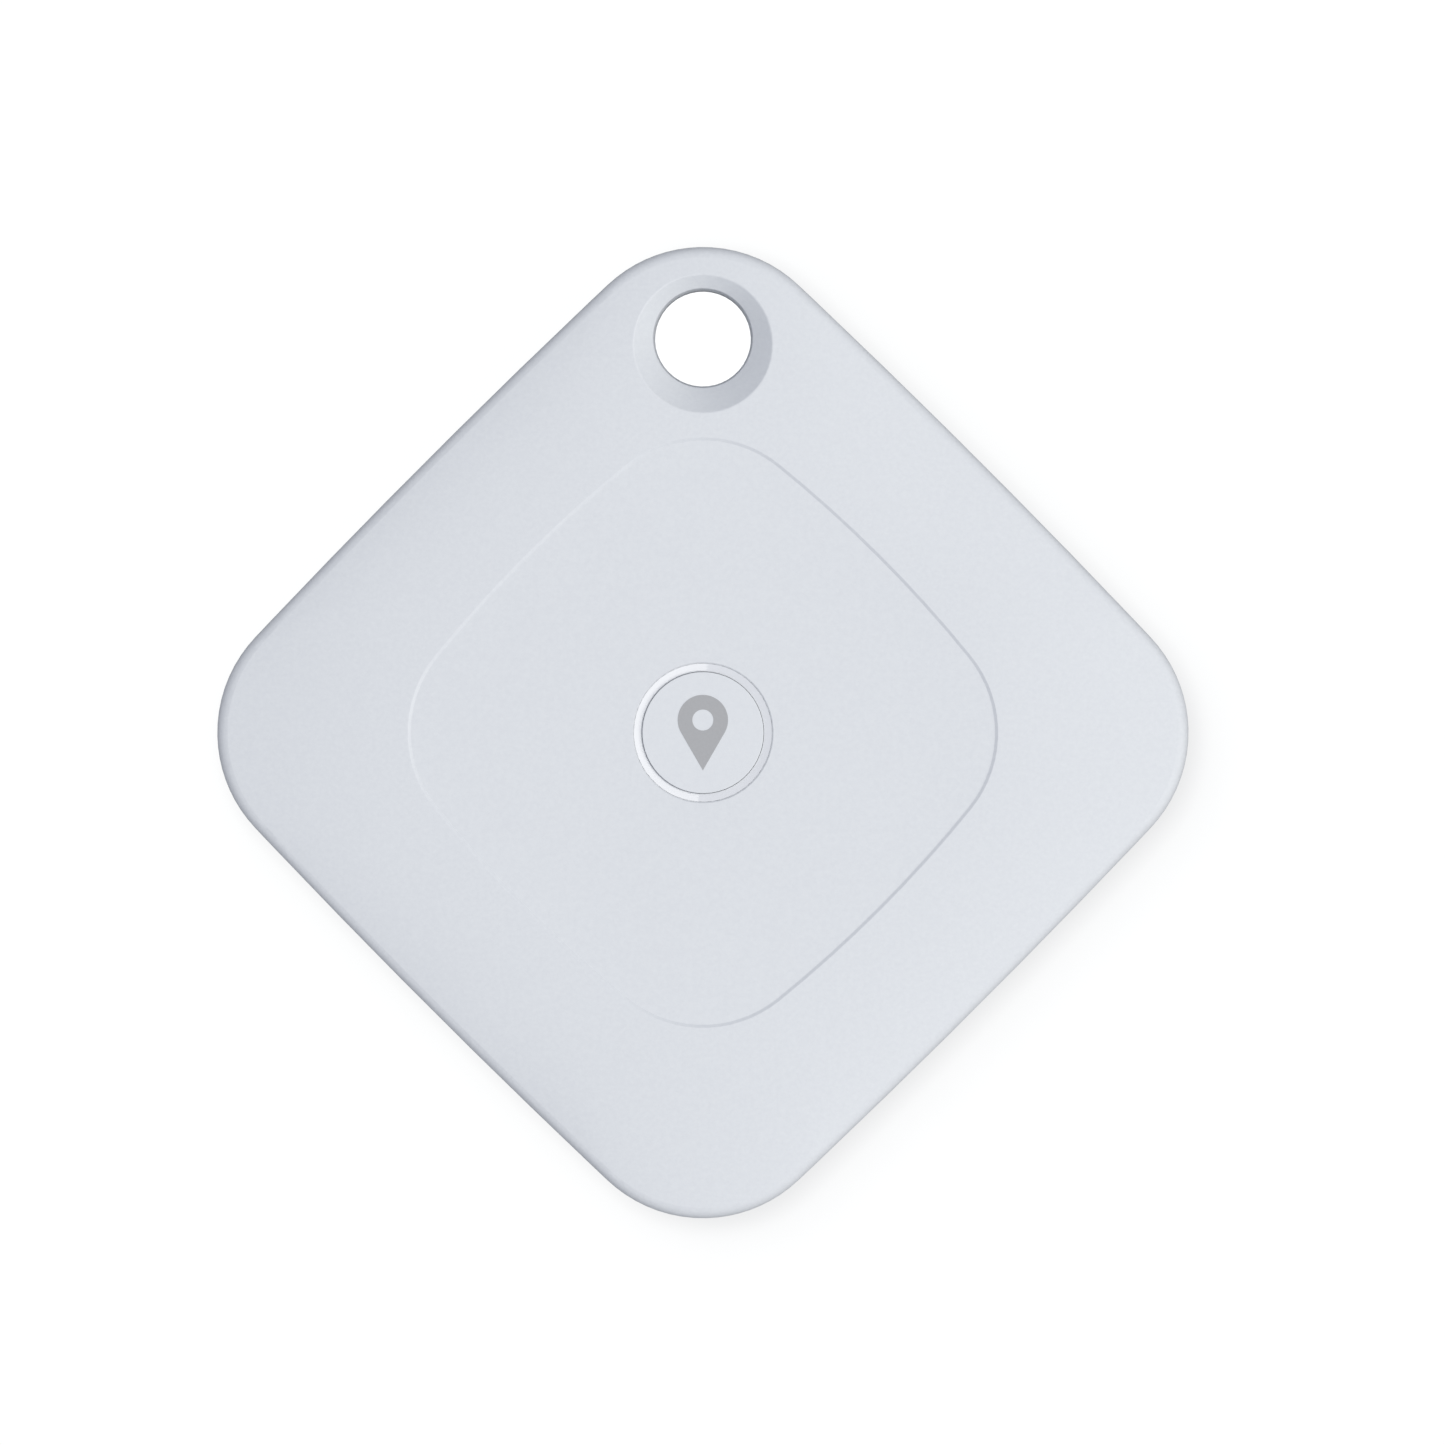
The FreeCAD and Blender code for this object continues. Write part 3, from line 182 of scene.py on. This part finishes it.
def soft_polymer(name, light, dark, roughness, sheen):
    """Rubber, soft plastic or cured resin: a little dusty, with a fine orange peel."""
    material, tree, where = new_finish(name)
    peel = add_node(
        tree, "TexNoise", {"Scale": per_mm(0.15), "Detail": 2.0}, {"Vector": where}
    )["Fac"]
    dust = add_node(
        tree, "TexNoise", {"Scale": per_mm(2.5), "Detail": 4.0}, {"Vector": where}
    )["Fac"]
    tone = add_node(
        tree, "Mix", {"data_type": "RGBA", 6: linear(dark), 7: linear(light)}, {0: dust}
    )[2]
    drag = add_node(
        tree, "MapRange", {"To Min": roughness - 0.08, "To Max": roughness + 0.1}, {"Value": dust}
    )["Result"]
    relief = add_node(
        tree, "Bump", {"Strength": 0.5, "Distance": 0.01 * MM}, {"Height": peel}
    )["Normal"]
    return surface(
        material,
        {"IOR": 1.42, "Sheen Weight": sheen, "Sheen Roughness": 0.4},
        {"Base Color": tone, "Roughness": drag, "Normal": relief},
    )


def fibre_filled_nylon(name, base, fibre, roughness):
    """Glass-filled nylon: a dull moulding with short pale fibres swimming at the surface."""
    material, tree, where = new_finish(name)
    stretched = add_node(
        tree, "Mapping", {"Scale": (1.0, 5.0, 1.0), "Rotation": (0.3, 0.0, 0.6)}, {"Vector": where}
    )["Vector"]
    strands = add_node(
        tree, "TexNoise", {"Scale": per_mm(0.6), "Detail": 2.0}, {"Vector": stretched}
    )["Fac"]
    fibres = add_node(
        tree, "MapRange", {"From Min": 0.58, "From Max": 0.68}, {"Value": strands}
    )["Result"]
    skin = add_node(
        tree, "TexNoise", {"Scale": per_mm(0.1), "Detail": 2.0}, {"Vector": where}
    )["Fac"]
    tone = add_node(
        tree, "Mix", {"data_type": "RGBA", 6: linear(base), 7: linear(fibre)}, {0: fibres}
    )[2]
    drag = add_node(
        tree, "MapRange", {"To Min": roughness - 0.06, "To Max": roughness + 0.1}, {"Value": skin}
    )["Result"]
    relief = add_node(
        tree, "Bump", {"Strength": 0.4, "Distance": 0.008 * MM}, {"Height": skin}
    )["Normal"]
    return surface(
        material, {"IOR": 1.53}, {"Base Color": tone, "Roughness": drag, "Normal": relief}
    )


# ------------------------------------------------------------------ metals


def turned_steel(name, light, dark, ring_mm):
    """Stainless steel finished on a spindle: fine rings around the axis that stretch the glints.

    The rings are drawn coarser than the real 0.02 mm so that they show.
    """
    material, tree, where = new_finish(name)
    rings = add_node(
        tree,
        "TexWave",
        {"wave_type": "RINGS", "rings_direction": "Z", "Scale": waves_per_mm(ring_mm),
         "Distortion": 1.5, "Detail": 3.0, "Detail Scale": 2.0},
        {"Vector": where},
    )["Fac"]
    smears = add_node(
        tree, "TexNoise", {"Scale": per_mm(3.0), "Detail": 4.0}, {"Vector": where}
    )["Fac"]
    tone = add_node(
        tree, "Mix", {"data_type": "RGBA", 6: linear(dark), 7: linear(light)}, {0: smears}
    )[2]
    polish = add_node(
        tree, "MapRange", {"To Min": 0.2, "To Max": 0.36}, {"Value": smears}
    )["Result"]
    relief = add_node(
        tree, "Bump", {"Strength": 0.35, "Distance": 0.004 * MM}, {"Height": rings}
    )["Normal"]
    return surface(
        material,
        {"Metallic": 1.0, "Anisotropic": 0.5},
        {"Base Color": tone, "Roughness": polish, "Normal": relief},
    )


def rolled_metal(name, light, dark, roughness):
    """Rolled strip or sheet, plated or bare: bright, with faint rolling lines and soft stains."""
    material, tree, where = new_finish(name)
    rolled = add_node(
        tree, "Mapping", {"Scale": (1.0, 14.0, 14.0), "Rotation": (0.0, 0.0, CASE_TURN)},
        {"Vector": where},
    )["Vector"]
    lines = add_node(
        tree, "TexNoise", {"Scale": per_mm(1.2), "Detail": 3.0}, {"Vector": rolled}
    )["Fac"]
    stains = add_node(
        tree, "TexNoise", {"Scale": per_mm(1.8), "Detail": 4.0}, {"Vector": where}
    )["Fac"]
    tone = add_node(
        tree, "Mix", {"data_type": "RGBA", 6: linear(dark), 7: linear(light)}, {0: stains}
    )[2]
    polish = add_node(
        tree, "MapRange", {"To Min": roughness - 0.08, "To Max": roughness + 0.1}, {"Value": lines}
    )["Result"]
    relief = add_node(
        tree, "Bump", {"Strength": 0.3, "Distance": 0.004 * MM}, {"Height": lines}
    )["Normal"]
    return surface(
        material,
        {"Metallic": 1.0, "Anisotropic": 0.3},
        {"Base Color": tone, "Roughness": polish, "Normal": relief},
    )


# ------------------------------------------------------------------ board and cell finishes


def solder_masked_board():
    """A laminate board under green mask: bundles of copper tracks show as lighter raised lines.

    Each squarish patch of the board carries parallel tracks, along it or across it, or a plain
    pour of copper, and small gold vias are strewn over all of them.
    """
    material, tree, where = new_finish("solder_masked_laminate")
    along_case = add_node(
        tree, "Mapping", {"Rotation": (0.0, 0.0, CASE_TURN)}, {"Vector": where}
    )["Vector"]
    patches = add_node(
        tree, "TexVoronoi", {"distance": "CHEBYCHEV", "Scale": per_mm(3.0)}, {"Vector": along_case}
    )["Color"]
    crossing = add_node(
        tree, "MapRange", {"From Min": 0.49, "From Max": 0.51}, {"Value": patches}
    )["Result"]
    lengthwise = add_node(
        tree, "TexWave", {"bands_direction": "X", "Scale": waves_per_mm(0.5)},
        {"Vector": along_case},
    )["Fac"]
    crosswise = add_node(
        tree, "TexWave", {"bands_direction": "Y", "Scale": waves_per_mm(0.5)},
        {"Vector": along_case},
    )["Fac"]
    waves = add_node(
        tree, "Mix", {"data_type": "FLOAT"}, {0: crossing, 2: lengthwise, 3: crosswise}
    )[0]
    tracks = add_node(
        tree, "MapRange", {"From Min": 0.55, "From Max": 0.7}, {"Value": waves}
    )["Result"]
    regions = add_node(
        tree, "TexVoronoi", {"distance": "CHEBYCHEV", "Scale": per_mm(5.5)},
        {"Vector": along_case},
    )["Color"]
    poured = add_node(
        tree, "MapRange", {"From Min": 0.55, "From Max": 0.56}, {"Value": regions}
    )["Result"]
    copper = add_node(
        tree, "Mix", {"data_type": "FLOAT", 3: 0.8}, {0: poured, 2: tracks}
    )[0]
    spots = add_node(
        tree, "TexVoronoi", {"Scale": per_mm(1.6)}, {"Vector": along_case}
    )["Distance"]
    vias = add_node(
        tree, "MapRange", {"From Min": 0.1, "From Max": 0.08}, {"Value": spots}
    )["Result"]
    weave = add_node(
        tree, "TexNoise", {"Scale": per_mm(0.3), "Detail": 2.0}, {"Vector": where}
    )["Fac"]
    mask = add_node(
        tree, "Mix", {"data_type": "RGBA", 6: linear("#14452C"), 7: linear("#1B5636")}, {0: weave}
    )[2]
    masked = add_node(
        tree, "Mix", {"data_type": "RGBA", 7: linear("#286B43")}, {0: copper, 6: mask}
    )[2]
    tone = add_node(
        tree, "Mix", {"data_type": "RGBA", 7: linear("#C2A25C")}, {0: vias, 6: masked}
    )[2]
    gloss = add_node(tree, "MapRange", {"To Min": 0.28, "To Max": 0.4}, {"Value": weave})["Result"]
    relief = add_node(
        tree, "Bump", {"Strength": 0.8, "Distance": 0.03 * MM}, {"Height": copper}
    )["Normal"]
    return surface(
        material, {"IOR": 1.55}, {"Base Color": tone, "Roughness": gloss, "Normal": relief}
    )


def fired_or_pressed(name, light, dark, roughness, grain_mm, metallic=0.0):
    """A fired, pressed or cast compound: its grains give a salt-and-pepper, chalky face."""
    material, tree, where = new_finish(name)
    grains = add_node(
        tree, "TexVoronoi", {"Scale": per_mm(grain_mm)}, {"Vector": where}
    )["Color"]
    pores = add_node(
        tree, "TexNoise", {"Scale": per_mm(grain_mm * 3), "Detail": 4.0}, {"Vector": where}
    )["Fac"]
    tone = add_node(
        tree, "Mix", {"data_type": "RGBA", 6: linear(dark), 7: linear(light)}, {0: grains}
    )[2]
    drag = add_node(
        tree, "MapRange", {"To Min": roughness - 0.08, "To Max": roughness + 0.08},
        {"Value": pores},
    )["Result"]
    relief = add_node(
        tree, "Bump", {"Strength": 0.5, "Distance": 0.01 * MM}, {"Height": pores}
    )["Normal"]
    return surface(
        material,
        {"IOR": 1.55} if metallic == 0.0 else {"Metallic": metallic},
        {"Base Color": tone, "Roughness": drag, "Normal": relief},
    )


case_grey, case_shade = "#DADDE0", "#D3D6DA"
dress(spark_textured_abs("spark_textured_abs_case", case_grey, case_shade, 0.5), "front_shell")
dress(spark_textured_abs("spark_textured_abs_rear", "#D9DCDF", "#D2D5D9", 0.5), "rear_shell")
dress(spark_textured_abs("spark_textured_abs_door", "#D6D9DC", "#CFD2D6", 0.46), "battery_door")
dress(spark_textured_abs("spark_textured_abs_button", "#DADDE0", "#D5D8DC", 0.46), "button_cap")
dress(polished_acrylic(), "button_ring")
dress(soft_polymer("moulded_grey_silicone", "#B9BEC4", "#ABB0B7", 0.5, 0.25), "shell_gasket")
dress(soft_polymer("moulded_clear_silicone", "#DDE1E5", "#D2D6DB", 0.42, 0.3), "button_seal")
dress(soft_polymer("moulded_black_nitrile", "#1E1F21", "#151617", 0.55, 0.1), "door_o_ring")
dress(solder_masked_board(), "main_board")
dress(fibre_filled_nylon("glass_filled_grey_nylon", "#3B3D40", "#5A5D61", 0.52), "battery_frame")
dress(fibre_filled_nylon("glass_filled_black_polymer", "#191A1B", "#2C2D2F", 0.5), "switch_base")
dress(fibre_filled_nylon("moulded_white_nylon", "#E4E3DE", "#EFEEEA", 0.45), "switch_plunger")
dress(rolled_metal("zinc_plated_screw_steel", "#B9C0C6", "#A3A9A8", 0.32), "frame_screws")
dress(rolled_metal("nickel_plated_spring_strip", "#C3BEB4", "#AFA99E", 0.28), "positive_contact",
      "negative_contact")
dress(rolled_metal("gold_flashed_bronze_strip", "#D9B36A", "#C39A52", 0.3), "piezo_springs")
dress(rolled_metal("stamped_stainless_sheet", "#BFC1C2", "#A9ABAD", 0.3), "switch_cover",
      "switch_dome")
dress(rolled_metal("seam_welded_kovar_lid", "#C9C3B4", "#B3AD9D", 0.34), "radio_crystal",
      "clock_crystal")
dress(rolled_metal("rolled_lithium_foil", "#C6C8C9", "#A7AAAC", 0.45), "cell_anode")
dress(rolled_metal("rolled_brass_disc", "#CDA95F", "#B48F4A", 0.3), "piezo_plate")
dress(turned_steel("turned_stainless_can", "#C8C9C9", "#B4B5B6", 0.4), "coin_cell_can")
dress(turned_steel("turned_stainless_cap", "#C2C3C4", "#ADAFB0", 0.35), "coin_cell_cap")
dress(soft_polymer("moulded_grey_polypropylene", "#54575B", "#484B4F", 0.38, 0.0),
      "coin_cell_gasket")
dress(soft_polymer("melt_blown_polypropylene_film", "#ECECE8", "#DDDDD8", 0.7, 0.2),
      "cell_separator")
dress(soft_polymer("cured_epoxy_bead", "#D8C79A", "#C7B383", 0.3, 0.0), "piezo_adhesive")
dress(fired_or_pressed("pressed_manganese_pellet", "#2B2A29", "#171616", 0.8, 0.12),
      "cell_cathode")
dress(fired_or_pressed("moulded_black_epoxy", "#242526", "#191A1B", 0.55, 0.06), "radio_chip",
      "motion_sensor")
dress(fired_or_pressed("sintered_ferrite", "#4A4744", "#33312F", 0.6, 0.08), "inductor")
dress(fired_or_pressed("fired_antenna_ceramic", "#E6E4DC", "#D6D3C9", 0.4, 0.1), "chip_antenna")
dress(fired_or_pressed("fired_tan_ceramic", "#B79A72", "#A1845D", 0.45, 0.08), "capacitors")
dress(fired_or_pressed("glazed_resistor_body", "#222326", "#17181A", 0.35, 0.1), "resistors")
dress(fired_or_pressed("silver_fired_piezo_ceramic", "#D2D1CC", "#BBB9B2", 0.42, 0.1, 0.9),
      "piezo_ceramic")

# ------------------------------------------------------------------ modelling helpers


def start_editing():
    bpy.ops.object.mode_set(mode="EDIT")
    bpy.ops.mesh.select_all(action="SELECT")


def select_points(piece, test):
    """In edit mode, select the points that pass a test of their place."""
    bpy.ops.mesh.select_mode(type="VERT")
    bpy.ops.mesh.select_all(action="DESELECT")
    bpy.ops.object.mode_set(mode="OBJECT")
    for point in piece.data.vertices:
        point.select = test(point.co)
    bpy.ops.object.mode_set(mode="EDIT")


def settle(piece, name, body, material):
    """Name a finished piece, put its place into its mesh and say what it rides on."""
    bpy.ops.object.mode_set(mode="OBJECT")
    bpy.ops.object.select_all(action="DESELECT")
    piece.select_set(True)
    bpy.context.view_layer.objects.active = piece
    bpy.ops.object.transform_apply(location=True, rotation=True, scale=True)
    piece.name = name
    piece.data.materials.clear()
    piece.data.materials.append(material)
    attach(piece, body)
    return piece


# ------------------------------------------------------------------ printed mark on the button


def button_mark():
    """A plain map pin printed on the button: a drop with a round eye, as a thin film of ink."""
    height = 3.5 * MM
    film = 0.012 * MM
    head = height / 3  # the drop's sides touch its head 60 degrees from straight down
    eye = 0.42 * head
    tip = -2 * head
    face_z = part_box("button_cap")[1][2]
    centre = Vector((0.0, head / 2, face_z))
    bpy.ops.object.select_all(action="DESELECT")
    bpy.ops.mesh.primitive_circle_add(vertices=96, radius=head, location=centre)
    pin = bpy.context.object
    start_editing()
    touch = -head * math.cos(math.radians(60))
    select_points(pin, lambda co: co.y < touch - SAME)
    bpy.ops.mesh.merge(type="COLLAPSE")
    select_points(pin, lambda co: abs(co.x) < SAME and co.y < 0)
    lowest = min(v.co.y for v in pin.data.vertices)
    bpy.ops.transform.translate(value=(0, tip - lowest, 0))
    bpy.ops.mesh.select_all(action="DESELECT")
    bpy.ops.mesh.primitive_circle_add(vertices=64, radius=eye, location=centre)
    bpy.ops.mesh.select_all(action="SELECT")
    bpy.ops.mesh.bridge_edge_loops()
    bpy.ops.mesh.select_all(action="SELECT")
    bpy.ops.mesh.extrude_region_move(TRANSFORM_OT_translate={"value": (0, 0, film)})
    bpy.ops.mesh.select_all(action="SELECT")
    bpy.ops.mesh.normals_make_consistent(inside=False)
    return settle(pin, "button_mark", "button", pad_printed_ink())


# ------------------------------------------------------------------ tin on the board's parts


def reflowed_tin():
    """Tin melted in the reflow oven: bright, rounded and slightly dimpled where it froze."""
    material, tree, where = new_finish("reflowed_tin")
    dimples = add_node(
        tree, "TexNoise", {"Scale": per_mm(0.15), "Detail": 2.0}, {"Vector": where}
    )["Fac"]
    tone = add_node(
        tree, "Mix", {"data_type": "RGBA", 6: linear("#B9BBBD"), 7: linear("#D2D3D4")},
        {0: dimples},
    )[2]
    shine = add_node(
        tree, "MapRange", {"To Min": 0.2, "To Max": 0.38}, {"Value": dimples}
    )["Result"]
    relief = add_node(
        tree, "Bump", {"Strength": 0.4, "Distance": 0.01 * MM}, {"Height": dimples}
    )["Normal"]
    return surface(
        material, {"Metallic": 1.0}, {"Base Color": tone, "Roughness": shine, "Normal": relief}
    )


def blocks_in(node):
    """The separate blocks of a CAD node: low and high corners along and across the case."""
    mesh = NODES[node].data
    blocks = []
    for face in mesh.polygons:
        corners = {tuple(round(c, 6) for c in mesh.vertices[i].co) for i in face.vertices}
        touching = [block for block in blocks if block & corners]
        blocks = [block for block in blocks if not block & corners]
        blocks.append(corners.union(*touching))
    turn = Euler((0, 0, -CASE_TURN)).to_matrix()
    measured = []
    for block in blocks:
        turned = [turn @ Vector(corner) for corner in block]
        low = Vector([min(spot[i] for spot in turned) for i in range(3)])
        high = Vector([max(spot[i] for spot in turned) for i in range(3)])
        measured.append((low, high))
    return measured


def tin_blocks(name, spans, bevel):
    """Round-edged tin blocks, each filling a span; one is modelled for each size and copied."""
    turn = Euler((0, 0, CASE_TURN)).to_matrix()
    made = {}
    blocks = []
    for low, high in spans:
        size = high - low
        place = turn @ ((low + high) / 2)
        key = tuple(round(side, 6) for side in size)
        if key in made:
            block = made[key].copy()
            block.data = made[key].data.copy()
            bpy.context.scene.collection.objects.link(block)
            block.location = place
        else:
            bpy.ops.object.select_all(action="DESELECT")
            bpy.ops.mesh.primitive_cube_add(
                size=1, location=place, rotation=(0, 0, CASE_TURN), scale=size
            )
            block = bpy.context.object
            bpy.ops.object.transform_apply(location=False, rotation=False, scale=True)
            start_editing()
            bpy.ops.mesh.bevel(offset=bevel, segments=3, affect="EDGES")
            bpy.ops.object.mode_set(mode="OBJECT")
            made[key] = block
        blocks.append(block)
    bpy.ops.object.select_all(action="DESELECT")
    for block in blocks:
        block.select_set(True)
    bpy.context.view_layer.objects.active = blocks[0]
    bpy.ops.object.join()
    return settle(blocks[0], name, "housing", reflowed_tin())


def tinned_ends():
    """A tin cap over each end of every small chip, the coil and the antenna."""
    share = 0.22  # of the chip's length under each cap
    longest = 0.5 * MM
    proud = Vector((0.015, 0.015, 0.015)) * MM
    bevel = 0.03 * MM
    spans = []
    for node in ("capacitors", "resistors", "inductor", "chip_antenna"):
        for low, high in blocks_in(node):
            size = high - low
            axis = 0 if size.x > size.y else 1
            cap = min(share * size[axis], longest)
            for end in (low, high):
                cap_low, cap_high = low - proud, high + proud
                cap_low.z = low.z
                if end is low:
                    cap_high[axis] = low[axis] + cap
                else:
                    cap_low[axis] = high[axis] - cap
                spans.append((cap_low, cap_high))
    return tin_blocks("tinned_ends", spans, bevel)


def radio_pins():
    """Eight tin pins along each side of the radio chip, just proud of its body."""
    pins, pitch = 8, 0.5 * MM
    half_width, height, proud, bevel = 0.12 * MM, 0.2 * MM, 0.03 * MM, 0.01 * MM
    (low, high), = blocks_in("radio_chip")
    middle = (low + high) / 2
    spans = []
    for axis in (0, 1):
        for face, outward in ((low[axis], -1), (high[axis], 1)):
            for number in range(pins):
                across = middle[1 - axis] + (number - (pins - 1) / 2) * pitch
                pin_low, pin_high = Vector((0, 0, low.z)), Vector((0, 0, low.z + height))
                pin_low[1 - axis], pin_high[1 - axis] = across - half_width, across + half_width
                sides = sorted((face - outward * proud, face + outward * proud))
                pin_low[axis], pin_high[axis] = sides
                spans.append((pin_low, pin_high))
    return tin_blocks("radio_pins", spans, bevel)


pieces = [button_mark(), tinned_ends(), radio_pins()]

# ------------------------------------------------------------------ studio

ORIGIN = (0, 0, 0)
LAMP_HEIGHT = 0.60


def glowing(strength):
    """A dull surface's settings, with this much white light of its own."""
    return {
        "Roughness": 0.9,
        "Specular IOR Level": 0.0,
        "Emission Color": linear("#FFFFFF"),
        "Emission Strength": strength,
    }


def light_table():
    """A white sweep that glows a little, as a light table does, so that it stays near white."""
    bpy.ops.object.select_all(action="DESELECT")
    bpy.ops.mesh.primitive_plane_add(size=12.0, location=ORIGIN)
    table = bpy.context.object
    table.name = "light_table"
    material, tree, where = new_finish("opal_light_table")
    mottle = add_node(
        tree, "TexNoise", {"Scale": per_mm(60.0), "Detail": 2.0}, {"Vector": where}
    )["Fac"]
    tone = add_node(
        tree, "Mix", {"data_type": "RGBA", 6: linear("#585A5C"), 7: linear("#5A5B5D")},
        {0: mottle},
    )[2]
    table.data.materials.append(surface(material, glowing(0.80), {"Base Color": tone}))
    return table


def bright_spot():
    """A spot of painted light on the table under the key-ring hole: it glows brighter than the
    table to fill in the shade that the hole's walls would cast.
    """
    hole_y = frame["record"]["mounts"][0]["pos_m"][1]
    above_table = 0.005 * MM
    bpy.ops.object.select_all(action="DESELECT")
    bpy.ops.mesh.primitive_circle_add(
        vertices=64, radius=3.0 * MM, fill_type="NGON", location=(0, hole_y, above_table)
    )
    spot = bpy.context.object
    spot.name = "bright_spot"
    spot.data.materials.append(surface(new_finish("opal_bright_spot")[0], glowing(1.0), {}))
    return spot


def pale_room():
    """A pale, slightly cool room that lights the tag evenly from all around."""
    world = bpy.data.worlds.new("pale_room")
    world.use_nodes = True
    walls = world.node_tree.nodes["Background"]
    set_up(walls, {"Color": linear("#F1F4FF"), "Strength": 0.642}, {})
    return world


def area_lamp(name, at, towards, sides, watts, turn=0.0):
    """A rectangular lamp at a place, facing a point, turned about its own axis."""
    data = bpy.data.lights.new(name, "AREA")
    data.shape = "RECTANGLE"
    data.size, data.size_y = sides
    data.energy = watts
    data.color = linear("#FFFDF5")[:3]
    lamp = bpy.data.objects.new(name, data)
    bpy.context.scene.collection.objects.link(lamp)
    aim = (Vector(towards) - Vector(at)).to_track_quat("-Z", "Y")
    lamp.rotation_mode = "QUATERNION"
    lamp.rotation_quaternion = aim @ Euler((0, 0, turn)).to_quaternion()
    lamp.location = at
    return lamp


def only_on(source, objects):
    """Let a lamp or a glowing surface light these objects alone."""
    group = bpy.data.collections.new("lit_by_" + source.name)
    for lit in objects:
        group.objects.link(lit)
    source.light_linking.receiver_collection = group


def overhead_camera():
    """A long lens straight above the case, so that its sides hardly show."""
    frame_width = 67.12 * MM
    aim = Vector((0.91, 0.47, 6.5)) * MM  # near the button, at the top of the case's sides
    data = bpy.data.cameras.new("camera")
    data.lens = 800
    data.sensor_width = 36
    data.clip_end = 100
    camera = bpy.data.objects.new("camera", data)
    bpy.context.scene.collection.objects.link(camera)
    camera.location = aim + Vector((0, 0, frame_width * data.lens / data.sensor_width))
    return camera


table = light_table()
# the bright spot is painted light: a glowing disc that fills in the shade under the key-ring hole
spot = bright_spot()
for glow in (table, spot):
    only_on(glow, [table])
bpy.context.scene.world = pale_room()

tag = list(NODES.values()) + pieces
softbox = area_lamp(
    "softbox", at=(0.23, -0.014, LAMP_HEIGHT), towards=(0.23, -0.014, 0), sides=(0.46, 0.90),
    watts=2.2, turn=math.radians(-3.5),
)
side_lamp = area_lamp(
    "side_lamp", at=(0.75, -0.20, 0.45), towards=ORIGIN, sides=(0.30, 0.30), watts=1.7
)
for lamp in (softbox, side_lamp):
    only_on(lamp, tag)

# these two stand on the far side of the shadow: one draws it wide and soft, one close and narrow
away_from_shadow = Vector((-0.77, 0.64, 0))
for name, lean, side, watts in (
    ("wide_table_lamp", 0.13, 0.26, 2.8),
    ("near_table_lamp", 0.043, 0.09, 3.2),
):
    place = away_from_shadow * lean + Vector((0, 0, LAMP_HEIGHT))
    only_on(area_lamp(name, at=place, towards=ORIGIN, sides=(side, side), watts=watts), [table])

bpy.context.scene.view_settings.view_transform = "Standard"
bpy.context.scene.camera = overhead_camera()
